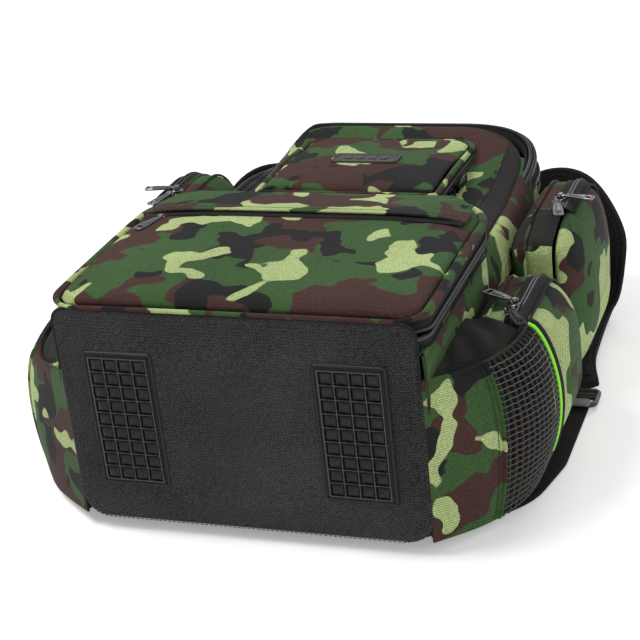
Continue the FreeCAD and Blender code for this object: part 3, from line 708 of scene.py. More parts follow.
floorMesh = bpy.data.meshes.new("floor")
floorMesh.from_pydata([(-9, -9, 0), (9, -9, 0), (9, 9, 0), (-9, 9, 0)], [], [(0, 1, 2, 3)])
floor = bpy.data.objects.new("floor", floorMesh)
bpy.context.scene.collection.objects.link(floor)
floorMaterial, _, floorShader = startMaterial("paleFloor", (0.86, 0.86, 0.86), 0.9)
floorShader.inputs["Emission Color"].default_value = (1, 1, 1, 1)
floorShader.inputs["Emission Strength"].default_value = 0.28
floorMesh.materials.append(floorMaterial)
print("camera and light ready")


# ---- the base: coarse black cloth, and two rubber feet with rows of pyramids

def rectangle(left, right, low, high, level, plane="xy"):  # four corners in one plane
    corners = [(left, low), (right, low), (right, high), (left, high)]
    if plane == "xz":
        return np.array([(a, level, b) for a, b in corners], float)
    return np.array([(a, b, level) for a, b in corners], float)


base = {"thick": 6.0, "crown": 2.2, "back": 22.0, "front": 12.0, "piping": 1.1}
wide = bag["half"] + 1.5
outline = rounded(rectangle(-wide, wide, bag["backLow"], bag["baseTop"] - 3, 3.0, "xz"),
                  [base["back"], base["back"], base["front"], base["front"]], 4, True)
piece("baseCloth", [pillow(outline, baseOut, base["thick"], base["crown"], power=4)],
      [finish["base"]], "bag", ["base_panel"])
edge = np.array([(-bag["half"] - 1, 2.2, 150), (-bag["half"] - 1, 2.2, bag["baseTop"] - 3),
                 (bag["half"] + 1, 2.2, bag["baseTop"] - 3), (bag["half"] + 1, 2.2, 150)])
path = rounded(edge, base["front"], 3)
piece("basePiping", [sweep(path, oval(2 * base["piping"], 2 * base["piping"]), baseOut)],
      [finish["tape"]], "bag")
hem = even(outline * [0.975, 1, 0.975] + [0, -5.0, 2.6], 4, True)
piece("baseStitching", [stitches(hem, baseOut, 4.2, 2.8, 0.5, 0.2, True)], [finish["thread"]],
      "bag")

foot = {"plate": 2.4, "rim": 3.3, "border": 5.5, "across": 4, "up": 9, "stud": 5.0, "corner": 3.0}


def footShape(side):
    low, high = nodeBox("foot_left" if side < 0 else "foot_right")
    left, right, bottom, top = low[0], high[0], low[2], high[2]
    outline = rounded(rectangle(left, right, bottom, top, 0.4, "xz"), foot["corner"], 2, True)
    rim, plate = foot["rim"], foot["plate"]
    layers = [(0, 1, 0), (0, 1, rim - 0.9), (0.7, 1, rim), (2.3, 1, rim), (2.6, 1, rim - 0.7),
              (3.2, 1, rim - 0.7), (3.5, 1, rim), (4.7, 1, rim), (5.3, 1, plate), (6.0, 1, plate)]
    surfaces = [layered(outline, baseOut, layers)]
    width = (right - left - 2 * foot["border"]) / foot["across"]
    tall = (top - bottom - 2 * foot["border"]) / foot["up"]
    for column in range(foot["across"]):
        for line in range(foot["up"]):
            x = left + foot["border"] + column * width
            z = bottom + foot["border"] + line * tall
            square = rectangle(x + 0.25, x + width - 0.25, z + 0.25, z + tall - 0.25, -plate + 0.6, "xz")
            stud = [(0, 1, 0), (0, 1, 0.7), (0, 0.04, foot["stud"] + 0.3)]
            surfaces.append(layered(square, baseOut, stud))
    ribs = [[(left + foot["border"] + k * width, -plate - 1.1, z) for z in (bottom + 5, top - 5)]
            for k in range(foot["across"] + 1)]
    ribs += [[(x, -plate - 1.1, bottom + foot["border"] + k * tall) for x in (left + 5, right - 5)]
             for k in range(foot["up"] + 1)]
    surfaces += [sweep(even(rib, 6), oval(1.0, 2.2, 8, 3), baseOut) + (2,) for rib in ribs]
    trail = even(rectangle(left + 2.9, right - 2.9, bottom + 2.9, top - 2.9, -rim + 1.0, "xz"), 1, True)
    surfaces.append(stitches(trail, baseOut, 3.4, 2.3, 0.6, 0.3, True) + (1,))
    return surfaces


for side, node in ((-1, "foot_left"), (1, "foot_right")):
    piece("rubberFoot" + node[5:].capitalize(), footShape(side), [finish["rubber"], finish["thread"], finish["rib"]],
          "bag", [node])
print("base ready")


# ---- lower pocket: camo side walls, the long zip, a padded front with piping, flap and slit zip

lower = {
    "half": nodeBox("lower_pocket_lid")[1][0],
    "end": nodeBox("lower_pocket_lid")[1][1] - baseFace,
    "bottom": nodeBox("lower_pocket_lid")[0][2],
    "top": nodeBox("lower_pocket_lid")[1][2],
    "corner": 60.0, "zipAt": 191.0, "tapeLow": 180.0, "drop": 2.0, "cornerDrop": 0.8, "baseCorner": 27.0,
    "crown": 7.0, "piping": 4.0,
}


def lowerSag(points):  # the far edge of the pocket falls, more the higher a point is
    points = points.copy()
    share = np.clip((points[:, 2] - bag["zip"]) / (lower["top"] - bag["zip"]), 0, 1.2)
    points[:, 2] -= lower["drop"] * smooth(150, 262, points[:, 1]) * share
    corner = smooth(90, 160, np.abs(points[:, 0])) * smooth(60, 0, points[:, 1])
    points[:, 2] -= lower["cornerDrop"] * corner * share
    return points


def lowerLoop(inset, level, start=7.0, turned=True):  # the pocket's outline, open at the base
    half, corner, nearCorner = (lower[key] - inset for key in ("half", "corner", "baseCorner"))
    points = [(half, start, level), (half, lower["end"] - inset, level),
              (-half, lower["end"] - inset, level), (-half, start, level)]
    if not turned:
        return rounded(points, corner, 3)
    reach = half - nearCorner - 12
    points = [(reach, start, level)] + points + [(-reach, start, level)]
    return rounded(points, [0, nearCorner, corner, corner, nearCorner, 0], 3)


def wallBand(low, high, inset=0.0, thick=3.0, belly=1.5, start=7.0, turned=True):
    # an upright band along the outline
    heights = np.linspace(0, 1, 7)
    outer = np.stack([belly * np.sin(np.pi * heights), low + heights * (high - low) - bag["zip"]], 1)
    inner = outer[::-1] - [thick, 0]
    return sweep(lowerLoop(inset, bag["zip"], start, turned), np.vstack([outer, inner]), zUp)


def cornerLedge(sign):  # between the wall's square near corner and the zip's round one, at the tape's foot
    s, t = np.meshgrid(np.linspace(0, 1, 5), np.linspace(0, 1, 15), indexing="ij")
    radius = lower["baseCorner"]
    turn = t * np.pi / 2
    arc = np.stack([lower["half"] - radius * (1 - np.cos(turn)), 7 + radius * (1 - np.sin(turn))], -1)
    leg = radius * np.stack([-np.clip(2 * t - 1, 0, 1), np.clip(1 - 2 * t, 0, 1)], -1)
    square = leg + [lower["half"], 7]
    ledge = arc + s[..., None] * (square - arc) - [1.0, 0]
    top = np.concatenate([ledge, np.full(s.shape + (1,), lower["tapeLow"])], -1)
    return shell(top * [sign, 1, 1], 2.0, zDown)


surfaces = [wallBand(128.0, lower["tapeLow"] + 1, turned=False), cornerLedge(1), cornerLedge(-1),
            wallBand(lower["tapeLow"], lower["zipAt"] - 1.5, 0.4) + (1,)]
surfaces.append(coil(lowerLoop(-1.4, lower["zipAt"] - 2.0), zUp, 2.6, 4.0) + (2,))
surfaces.append(sweep(lowerLoop(-1.6, lower["tapeLow"] + 0.5), oval(1.6, 2.4), zUp) + (1,))
piece("lowerPocketWalls", surfaces, [finish["lowerWall"], finish["tape"], finish["coil"]], "bag",
      ["lower_pocket_walls"], bend=lowerSag)
surfaces = [wallBand(lower["zipAt"] + 1.5, lower["bottom"] + 1.5, 0.6, 3.0, 1.0, 14.0) + (0,)]
surfaces.append(coil(lowerLoop(-1.4, lower["zipAt"] + 2.2, 14.0), zUp, 2.6, 4.0) + (1,))
piece("lowerZipUpper", surfaces, [finish["tape"], finish["coil"]], "lower_lid", bend=lowerSag)

corners = [lower["baseCorner"], lower["baseCorner"], lower["corner"], lower["corner"]]
half, level = lower["half"] + 1, (lower["bottom"] + lower["top"]) / 2 + 0.5
outline = rounded(rectangle(-half, half, 4.5, lower["end"] + 1, level), corners, 4, True)
front = piece("lowerPocketFront", [pillow(outline, zUp, 9.5, lower["crown"], 0, 3.4)],
              [finish["lower"]], "lower_lid", ["lower_pocket_lid"], bend=lowerSag)
puff(front, 5.0, 2.5, 2.0)
half, level, near = lower["half"] + 0.2, lower["top"] - 3.6, 2.5
rim = rounded(rectangle(-half, half, near, lower["end"], level), corners, 3, True)
thin = smooth(near + 26, near + 4, rim[:, 1]) * 0.5  # the piping is thinner along the base
girth = oval(2 * lower["piping"], 2 * lower["piping"], 12)[None] * (1 - thin)[:, None, None]
rim[:, 2] += 0.6 * smooth(near + 26, near, rim[:, 1])
piece("lowerPocketPiping", [sweep(rim, girth, zUp, True)],
      [finish["piping"]], "lower_lid", bend=lowerSag)


def lowerFace(x, y):  # height of the pocket front's surface
    s = np.maximum(np.abs(x) / lower["half"], np.abs(y - 129) / 123)
    crowned = lower["crown"] * (1 - np.clip(s, 0, 1) ** 3.4)
    return lower["top"] + 2.3 + crowned - lower["drop"] * smooth(150, 262, y)


flap = {"half": nodeBox("storm_flap")[1][0] + 30, "low": nodeBox("storm_flap")[0][1] - baseFace,
        "high": nodeBox("storm_flap")[1][1] - baseFace + 1}
u, v = np.meshgrid(np.linspace(-1, 1, 70), np.linspace(0, 1, 28), indexing="ij")
x = u * flap["half"]
y = flap["low"] + v * (flap["high"] - flap["low"]) - 3 * (1 - np.abs(u) ** 4) * (1 - v)
turned = np.clip(y - lower["end"] + lower["corner"], 0, 50)
reach = lower["half"] - lower["corner"] + np.sqrt(lower["corner"] ** 2 - turned ** 2)
x = x * np.minimum(1, (reach - 9) / flap["half"])
lift = 3.6 * (1 - v) ** 3 * (1 - np.abs(u) ** 12) + 1.6
z = lowerFace(x, y) + lift
top = np.stack([x, y, z], -1)
surfaces = [shell(top, 1.6, zDown)]
hem = np.stack([x[2:-2, 3], y[2:-2, 3], z[2:-2, 3]], 1)
surfaces.append(stitches(hem, zUp, 3.4, 2.3, 0.5, 0.35) + (1,))
surfaces.append(sweep(top[:, 0] - [0, 0, 0.8], oval(2.6, 2.6, 8), zUp))
piece("stormFlap", surfaces, [finish["flap"], finish["thread"]], "storm_flap", ["storm_flap"])
line = np.linspace(-flap["half"] + 4, flap["half"] - 2, 120)
across = flap["low"] - 4.5 + 3.5 * np.abs(line / flap["half"]) ** 4 - 6 * smooth(118, 140, -line)
slit = np.stack([line, across, lowerFace(line, across) + 1.2], 1)
piece("slitZip", [sweep(slit + [0, 1.5, 0], oval(13, 1.8, 8), zUp),
                  coil(slit + [0, 2.5, 0], zUp, 4.0, 2.4) + (1,)],
      [finish["tape"], finish["coil"]], "lower_lid")
print("lower pocket ready")


# ---- main compartment: side wall, back, main lid with yokes and side strips, and the arched zip

main = {"rise": 27.0, "riseFrom": 330.0, "edgeTop": 166.0, "crown": 5.0, "slump": 16.0}


def rimLift(x, y):  # how much higher the lid's edge is towards the top, though not on the slumped left
    return main["rise"] * smooth(main["riseFrom"], bag["end"] - 12, y) * 0.5 * smooth(-134, -90, x)


def leftFall(x, y):  # the lid's left edge has slumped
    return main["slump"] * smooth(-106, -150, x) * smooth(290, 350, y)


def halfAt(y, inset=0.0):  # half width of the bag's outline, an arch of the corner radius at the top
    radius = bag["corner"] - inset
    turn = bag["end"] - bag["corner"]
    straight = bag["half"] - bag["corner"]
    drop = np.clip(np.asarray(y, float) - turn, 0, radius)
    return straight + np.sqrt(np.maximum(radius ** 2 - drop ** 2, 0))


def archPath(inset, level, start, step=3.0):  # the bag's outline from the right side over the top to the left
    half, end = bag["half"] - inset, bag["end"] - inset
    points = [(half, start, level), (half, end, level), (-half, end, level), (-half, start, level)]
    return rounded(points, bag["corner"] - inset, step)


wall = archPath(0.0, 0.0, 6.0, 4)
heights = np.linspace(0, 1, 9)
tall = bag["zip"] - bag["backLow"] - 6
outer = np.stack([1.8 * np.sin(np.pi * heights), bag["backLow"] + 5 + heights * tall], 1)
inner = outer[::-1] - [5.0, 0]
piece("sideWall", [sweep(wall, np.vstack([outer, inner]), zUp)], [finish["side"]], "bag",
      ["gusset_left", "gusset_right", "gusset_top"])
outline = rounded(rectangle(-bag["half"], bag["half"], 5, bag["end"], (bag["backLow"] + bag["backTop"]) / 2),
                  [12, 12, bag["corner"], bag["corner"]], 5, True)
piece("backCloth", [pillow(outline, zUp, bag["backTop"] - bag["backLow"], 0.5, 0.5, 6)],
      [finish["black"]], "bag", ["back_panel"])
surfaces = [sweep(archPath(-0.5, bag["backLow"] + 5.0, 6.0), oval(5.0, 5.0, 10), zUp)]
piece("backPiping", surfaces, [finish["black"]], "bag")


def zipTucked(points):  # along the sides the zip lies in under the lid's camo strips
    points = points.copy()
    points[:, 0] *= 1 - 0.035 * smooth(412, 360, points[:, 1])
    return points


zipLine = archPath(-2.0, bag["zip"] - 2.5, 273.0)
surfaces = [coil(zipLine, zUp, 2.6, 4.2) + (1,),
            sweep(archPath(-1.2, bag["zip"] - 8.5, 273.0), oval(1.6, 10, 8), zUp) + (0,)]
piece("mainZipLower", surfaces, [finish["tape"], finish["coil"]], "bag", bend=zipTucked)


def raised(points):  # the lid's edge rises towards the top, more the higher a point is
    points = points.copy()
    share = np.clip((points[:, 2] - bag["zip"] - 2) / 14.0, 0, 1)
    x, y = points[:, 0], points[:, 1]
    points[:, 2] += (2 * rimLift(x, y) - leftFall(x, y)) * share
    return points


def tucked(points):  # the same, and the band's two ends go down under the side strips
    points = raised(points)
    share = np.clip((points[:, 2] - bag["zip"] - 4) / 10.0, 0, 1)
    points[:, 2] -= 15 * smooth(412, 352, points[:, 1]) * share
    points[:, 0] *= 1 - 0.06 * smooth(412, 360, points[:, 1])
    return points



def lidSurface(x, y):  # the lid's face: flat in the middle, and falling to its edge over the last 14 mm
    half = halfAt(y, 7.0)
    side = np.clip((half - np.abs(x)) / 16, 0, 1)
    edge = main["edgeTop"] - 5 * (1 - side) ** 2
    near = smooth(70, 8, np.minimum(half - np.abs(x), bag["end"] - y))
    crowned = main["crown"] * 0.5 * (1 - (np.abs(x) / bag["half"]) ** 2)
    return edge - leftFall(x, y) + rimLift(x, y) * (1.15 + 0.75 * near) + crowned


def lidPanel(leftOf, rightOf, low, high, thick=3.0, bulge=1.2, count=40):
    # a panel between two edge lines, each a function of y, crowned a little between them
    t, s = np.meshgrid(np.linspace(0, 1, count), np.linspace(0, 1, 16), indexing="ij")
    y = low + t * (high - low)
    left, right = leftOf(y), rightOf(y)
    x = left + s * (right - left)
    puffed = bulge * (1 - np.abs(2 * s - 1) ** 4) * (1 - np.abs(2 * t - 1) ** 8)
    z = lidSurface(x, y) + puffed
    return shell(np.stack([x, y, z], -1), thick, zDown)


def yokeInner(y):  # the seam between the camo middle and the black corner yokes
    return np.minimum(112 + 9 * smooth(290, 400, y), halfAt(y, 12.0))


def yokeOuter(y):  # the seam between the yokes and the camo side strips
    return np.minimum(halfAt(y, 10.0), 146)


lidLow = bag["lidStart"] + 1.0
middleTop = bag["end"] - 14
parts = [lidPanel(lambda y: -yokeInner(y), yokeInner, lidLow, middleTop, 3.0, 1.5, 50)]
for sign in (-1, 1):
    yoke = lidPanel(lambda y: sign * yokeInner(y), lambda y: sign * yokeOuter(y), lidLow, middleTop - 1,
                    3.0, 0.8, 50)
    parts.append(yoke + (1,))
y = np.linspace(lidLow + 4, middleTop - 12, 80)
for sign in (-1, 1):
    for shift, lineOf in ((1.6, yokeInner), (-2.0, yokeOuter)):
        x = np.minimum(lineOf(y), halfAt(y, 12.0)) + shift
        seam = np.stack([sign * x, y, lidSurface(sign * x, y) + 0.9], 1)
        parts.append(stitches(seam, zUp, 3.3, 2.2, 0.5, 0.3) + (2,))
piece("mainFront", parts, [finish["main"], finish["black"], finish["thread"]], "main_lid",
      ["main_lid"])


def stripShape(sign):  # the camo strip that rolls over the bag's front edge and down its side
    t, s = np.meshgrid(np.linspace(0, 1, 44), np.linspace(0, 1, 13), indexing="ij")
    y = lidLow + t * (428 - lidLow)
    half = halfAt(y)
    inner = np.minimum(yokeOuter(y), half - 6) - 1
    high = lidSurface(sign * inner, y) + 0.6
    low = 127.0 + 10 * smooth(300, 430, y)
    arc = s * np.pi / 2
    x = inner + (half + 3.5 - inner) * np.sin(arc) ** 0.8
    z = high - (high - low) * (1 - np.cos(arc)) ** 0.9
    top = np.stack([x, y, z], -1)
    surface = shell(top, 1.6)
    return (surface if sign > 0 else mirrored(surface)), flatSize(top, 2)


(rightStrip, flat), (leftStrip, _) = stripShape(1), stripShape(-1)
piece("sideStrips", [rightStrip, leftStrip], [finish["strip"]], "main_lid")

start = 335.0
rise = main["edgeTop"] - 4
band = archPath(1.0, 0.0, start)
profile = np.array([(1.2, 152), (2.4, 158), (1.6, rise - 2), (-2, rise + 2), (-8, rise + 2), (-8, rise - 1),
                    (-3.5, rise - 2.5), (-2, 158), (-2, 152)])
surfaces = [sweep(band, profile, zUp) + (0,)]
for inset, level in ((-1.6, rise - 4.5), (0.6, rise + 1.6), (4.2, rise + 3.0)):
    surfaces.append(coil(archPath(inset, level, start), zUp, 4.4, 3.6, 1.9) + (1,))
surfaces.append(sweep(archPath(8.2, rise + 2.0, start), oval(3.4, 3.4, 8), zUp) + (0,))
surfaces.append(coil(archPath(-2.0, bag["zip"] + 2.0, start), zUp, 2.6, 4.0) + (1,))
piece("archBand", surfaces, [finish["tape"], finish["coil"]], "main_lid", bend=tucked)


def shoulderShape(sign):  # beside the lower pocket's round corner: black cloth, then the camo strip's near end
    t, s = np.meshgrid(np.linspace(0, 1, 30), np.linspace(0, 1, 12), indexing="ij")
    y = 176 + t * (bag["lidStart"] - 0.5 - 176)
    turn = np.clip(y - (lower["end"] - lower["corner"]), 0, lower["corner"] - 1)
    pocket = lower["half"] - lower["corner"] + np.sqrt(lower["corner"] ** 2 - turn ** 2) - 8
    inner = 145.0 + 7 * smooth(250, 180, y)
    level = lidSurface(np.full_like(y, 130.0), np.maximum(y, bag["lidStart"])) - 1.0
    seam = np.minimum(pocket, inner - 2)
    x = seam + s * (inner + 2 - seam)
    plain = shell(np.stack([x, y, level - 5 * (1 - t) - 1.5 * (s - 0.5) ** 2], -1), 2.0, zDown)
    arc = s * np.pi / 2
    half = bag["half"]
    x = inner + (half + 3.0 - inner) * np.sin(arc) ** 0.8
    z = level + 0.8 - 5 * (1 - t) - (level - 127.0) * (1 - np.cos(arc)) ** 0.9
    camo = shell(np.stack([x, y, z], -1), 1.6)
    parts = [plain + (0,), camo + (1,)]
    return [p if sign > 0 else mirrored(p[:2]) + p[2:] for p in parts]


piece("frontShoulders", shoulderShape(1) + shoulderShape(-1), [finish["black"], finish["strip"]],
      "bag")
lowHem = np.array([(-bag["half"] + 8, bag["lidStart"] + 2, 0), (bag["half"] - 8, bag["lidStart"] + 2, 0)])
line = even(lowHem, 4)
line[:, 2] = lidSurface(line[:, 0], line[:, 1]) - 6
piece("lidHem", [sweep(line, oval(4, 12, 10), zUp)], [finish["black"]], "main_lid")
for node in ("front_wall", "inner_divider"):
    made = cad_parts[node]
    made.data.materials.clear()
    made.data.materials.append(finish["lining"])
print("main compartment ready")


# ---- upper pocket: black zipped walls, a padded camo face with piping, and a rubber badge

upper = {
    "half": nodeBox("upper_pocket_lid")[1][0], "start": nodeBox("upper_pocket_lid")[0][1] - baseFace,
    "end": nodeBox("upper_pocket_lid")[1][1] - baseFace,
    "low": nodeBox("upper_pocket_walls")[0][2], "bottom": nodeBox("upper_pocket_lid")[0][2],
    "top": nodeBox("upper_pocket_lid")[1][2], "corner": 24.0, "crown": 3.5, "piping": 2.9,
}


def upperTilt(points):  # the pocket's face leans back: lower towards the top of the bag
    points = points.copy()
    share = np.clip((points[:, 2] - upper["low"] - 8) / 14, 0, 1)
    points[:, 2] -= 5.0 * smooth(360, 470, points[:, 1]) * share
    return points


def upperLoop(inset, level):  # the pocket's outline, closed
    half = upper["half"] - inset
    corners = rectangle(-half, half, upper["start"] + inset, upper["end"] - inset, level)
    return rounded(corners, [4, 4, upper["corner"] - inset, upper["corner"] - inset], 3, True)


heights = np.linspace(0, 1, 6)
tall = upper["bottom"] - upper["low"] - 3
outer = np.stack([1.5 * np.sin(np.pi * heights), upper["low"] - 2 + heights * tall], 1)
upperWall = sweep(upperLoop(0, 0), np.vstack([outer, outer[::-1] - [3, 0]]), zUp, True)
surfaces = [upperWall + (0,)]
for level in (4.0, 8.2):
    surfaces.append(coil(upperLoop(-1.6, upper["bottom"] - level), zUp, 2.6, 3.4, 1.6, True) + (1,))
surfaces.append(sweep(upperLoop(-0.8, upper["low"] + 2.5), oval(2.2, 5, 8), zUp, True) + (0,))
piece("upperPocketWalls", surfaces, [finish["tape"], finish["coil"]], "main_lid",
      ["upper_pocket_walls"], bend=upperTilt)
middle = (upper["bottom"] + upper["top"]) / 2
face = piece("upperPocketFront",
             [pillow(upperLoop(0.6, middle), zUp, 6.0, upper["crown"], 0, 3.2)], [finish["upper"]],
             "upper_lid", ["upper_pocket_lid"], bend=upperTilt)
puff(face, 4.0, 2.5, 2.0)
surfaces = [sweep(upperLoop(0.2, upper["top"] - 2.6), oval(5.8, 5.8, 12), zUp, True)]
surfaces.append(sweep(upperLoop(-0.8, upper["bottom"] - 1.2), oval(2.4, 3.0, 8), zUp, True) + (1,))
piece("upperPocketPiping", surfaces, [finish["piping"], finish["tape"]], "upper_lid",
      bend=upperTilt)

low, high = nodeBox("label_badge")
outline = rounded(rectangle(low[0], high[0], low[1] - baseFace, high[1] - baseFace, low[2] - 0.4), 3.5, 2, True)
layers = [(0, 1, 0), (0, 1, 2.6), (0.6, 1, 3.2), (1.8, 1, 3.2), (2.3, 1, 2.2), (3.2, 1, 2.2), (3.6, 1, 2.7),
          (4.3, 1, 2.7), (4.8, 1, 2.0), (6, 1, 2.0)]
surfaces = [layered(outline, zUp, layers)]
middle = (low[1] + high[1]) / 2 - baseFace
for x in (-18, -6, 6, 18):  # a plain row of raised bars
    bar = rounded(rectangle(x - 3.5, x + 3.5, middle - 3.6, middle + 3.6, low[2] + 1.0), 1.2, 1, True)
    surfaces.append(layered(bar, zUp, [(0, 1, 0), (0, 1, 1.4), (0.4, 1, 1.8)]))
piece("rubberBadge", surfaces, [finish["badge"]], "upper_lid", ["label_badge"],
      bend=lambda points: upperTilt(points) + [0, 0, 5.2])
print("upper pocket ready")


# ---- side pockets: a drum of cloth on the side wall, and a bulging zipped face

pockets = {
    "near": {"nose": (0.0, 6.0), "tail": 62.0, "back": 20.0, "bulge": 34.0},
    "far": {"nose": (44.0, 12.0), "tail": 105.0, "back": 40.0, "bulge": 25.0},
}
for name, size in pockets.items():
    low, high = nodeBox("side_lid_%s_right" % name)
    size["start"], size["end"], size["front"] = low[1] - baseFace, high[1] - baseFace, high[2]
pocketFloor = nodeBox("side_lid_near_right")[0][2]
rimAt = bag["half"] + 46.0
shelfAt = bag["half"] + 22.0


def pocketOutline(size, inset, x):  # the pocket seen from the side, with its nose cut and its tail round
    low, high = size["start"] + inset + 0.3, size["end"] - inset - 0.3
    floor, front = pocketFloor + inset, size["front"] - inset
    cut, drop = size["nose"]
    points = [(x, low, floor), (x, low, front - drop), (x, low + cut, front), (x, high, front),
              (x, high, floor)]
    return rounded(points, [size["back"], 14, 12, size["tail"], size["back"]], 3, True)


def pocketProfile():  # the drum's wall: up from the side of the bag, then out along the flat front strip
    wall, shelf = bag["half"] - rimAt, shelfAt - rimAt
    outer = np.array([(wall + 0.5, -24), (wall + 6, -17), (wall + 15, -4.5), (shelf, -0.6), (shelf + 8, 0.4),
                      (-6, 0.3), (0, -0.2)])
    return np.vstack([outer, outer[::-1] - [0, 2.4]])


def noseOf(size, path, ahead, below):  # which of an outline's points are near the cut nose, if it has one
    cut, drop = size["nose"]
    return (path[:, 1] < size["start"] + cut + ahead) & (path[:, 2] > size["front"] - drop - below) & (cut > 5)


def drum(size):
    # the drum's surface, with black cloth at its nose, and its outline and outward directions
    path = pocketOutline(size, 0, rimAt)
    middle = path.mean(0)
    tangent = unit(np.roll(path, -1, 0) - np.roll(path, 1, 0))
    out = np.cross(tangent, [1.0, 0, 0])
    if ((path - middle) * out).sum() < 0:
        out = -out
    profile = pocketProfile()
    rings = path[:, None] + np.array([1.0, 0, 0]) * profile[None, :, :1] + out[:, None] * profile[None, :, 1:]
    points, faces = grid(rings, True, True)
    nose = noseOf(size, path, 3, 2)
    return (points, faces, np.repeat(nose.astype(int) * 2, profile.shape[0])), path, out


def clearOfNose(size, path):
    # the numbers of an outline's points from one side of the nose round to the other, and whether it is whole
    gone = noseOf(size, path, 10, 46)
    if not gone.any():
        return np.arange(len(path)), True
    first = np.flatnonzero(gone & ~np.roll(gone, -1))[0] + 1
    order = (np.arange(len(path)) + first) % len(path)
    return order[~gone[order]], False


def along(path, out, x, rise):  # the outline moved out along its own normal, at another x
    line = path + out * rise
    line[:, 0] = x
    return line


def sidePocket(name, side):
    size, word, flip = pockets[name], name.capitalize() + side.capitalize(), flipFor(side)
    shape, path, out = drum(size)
    cloth = [flip(shape)]
    order, whole = clearOfNose(size, path)
    cloth.append(flip(sweep(along(path, out, shelfAt, 0.9), oval(2.6, 2.6, 8), out, True)))
    path, out = path[order], out[order]
    cloth.append(flip(sweep(along(path, out, rimAt - 9.5, 1.0), oval(2.2, 2.2, 8), out, whole)))
    piece("pocketDrum" + word, cloth, [finish[name], finish["thread"], finish["black"]], "bag",
          ["side_pocket_%s_%s" % (name, side)])
    tapePath = along(path, out, rimAt - 4.8, 1.1)
    tapes = [flip(sweep(tapePath, oval(9.0, 1.6, 10), out, whole) + (0,))]
    tapes.append(flip(coil(along(path, out, rimAt - 1.7, 1.9), (1.0, 0, 0), 2.6, 3.0, 1.6, whole) + (1,)))
    piece("pocketZipInner" + word, tapes, [finish["tape"], finish["coil"]], "bag")
    # the face: rings from the rim outwards, x rising as a quarter of a superellipse
    body = "side_lid_%s_%s" % (name, side)
    rim = pocketOutline(size, -0.8, rimAt + 0.6)
    centre = rim.mean(0)
    bulge = size["bulge"]
    share = np.cos(np.linspace(0, np.pi / 2, 20))[:-1]
    height = bulge * (1 - share ** 3.0) ** (1 / 1.55)
    rings = [centre + (rim - centre) * s + [h, 0, 0] for s, h in zip(share, height)]
    top = rings + [centre + (rim - centre) * 0.02 + [bulge, 0, 0]]
    under = [centre + (rim - centre) * s + [max(h - 10.0, -2.0), 0, 0] for s, h in zip(share * 0.955, height)]
    under.append(centre + (rim - centre) * 0.02 + [bulge - 10.0, 0, 0])
    ends = np.ones((len(rim), 1))
    closed = [top[-1].mean(0) * ends] + top[::-1] + under + [under[-1].mean(0) * ends]
    face = piece("pocketFace" + word, [flip(grid(np.stack(closed), False, True))],
                 [finish[name]], body, [body])
    puff(face, 4.2, 2.5, 2.5)
    outRim = unit((rim - centre) * [0, 1, 1])
    tapeLine = centre + (rim - centre) * 0.985 + np.array([5.0, 0, 0]) + outRim * 0.8
    lift = unit(outRim * 0.8 + [0.55, 0, 0])
    order, whole = clearOfNose(size, rim)
    seam = centre + (rim - centre) * 0.965 + np.array([10.5, 0, 0]) + outRim * 0.6
    teeth = rim + [0.9, 0, 0] + outRim * 2.0
    zipParts = [flip(sweep(tapeLine[order], oval(11.0, 1.6, 10), lift[order], whole) + (0,)),
                flip(coil(teeth[order], (1.0, 0, 0), 2.6, 3.0, 1.6, whole) + (1,)),
                flip(sweep(seam[order], oval(2.6, 2.6, 8), lift[order], whole) + (0,))]
    piece("pocketZipOuter" + word, zipParts, [finish["tape"], finish["coil"]], body)


for side in ("left", "right"):
    for name in ("near", "far"):
        sidePocket(name, side)
print("side pockets ready")


# ---- slip pockets beside the base: camo cloth, then net over camo darkened as painted shade, with a lime edge and black binding

slip = {
    "start": 3.0, "end": pockets["near"]["start"] - 2.0, "low": 13.0, "mouth": 153.0, "reach": 52.0, "cell": 5.4,
    "left": {"belly": 20.0, "bow": 24.0, "dip": 22.0, "net": 1.4, "fur": 17.0, "seam": 0.6},
    "right": {"belly": 25.0, "bow": 2.0, "dip": 4.0, "net": 4.0, "fur": 7.0, "seam": 0.43},
}


def slipAt(sag, u, v, proud=0.0):  # u from the base's edge to the lime edge, v from the floor to the mouth
    z = slip["low"] + (slip["mouth"] - slip["low"] + 4 * (1 - u) ** 3) * v
    z = z - sag["dip"] * np.sin(np.pi * u) ** 0.8 * v ** 3 + 12 * u ** 2 * (1 - v) ** 2
    z = z - 7 * np.sin(np.pi * u) * (1 - v) ** 3
    swell = np.sin(np.pi * np.clip(v * 0.90 + 0.10, 0, 1)) ** 0.55
    edge = slip["reach"] + 3.5 + sag["belly"] * swell - 5 * (1 - v) ** 2
    x = bag["half"] + 1.0 + edge * np.sin(u * np.pi / 2) ** 1.12 + proud
    x = x + sag["bow"] * np.sin(np.pi * u) * (1 - 0.3 * v)
    y = slip["start"] + (slip["end"] - slip["start"]) * u
    return np.stack([x, y, z], -1)


def slipSheet(sag, first, last, thick, proud=0.0):  # the part of the panel between two values of u
    u, v = np.meshgrid(np.linspace(first, last, 26), np.linspace(0, 1, 30), indexing="ij")
    return shell(slipAt(sag, u, v, proud), thick, np.array([-0.85, 0.5, 0]))


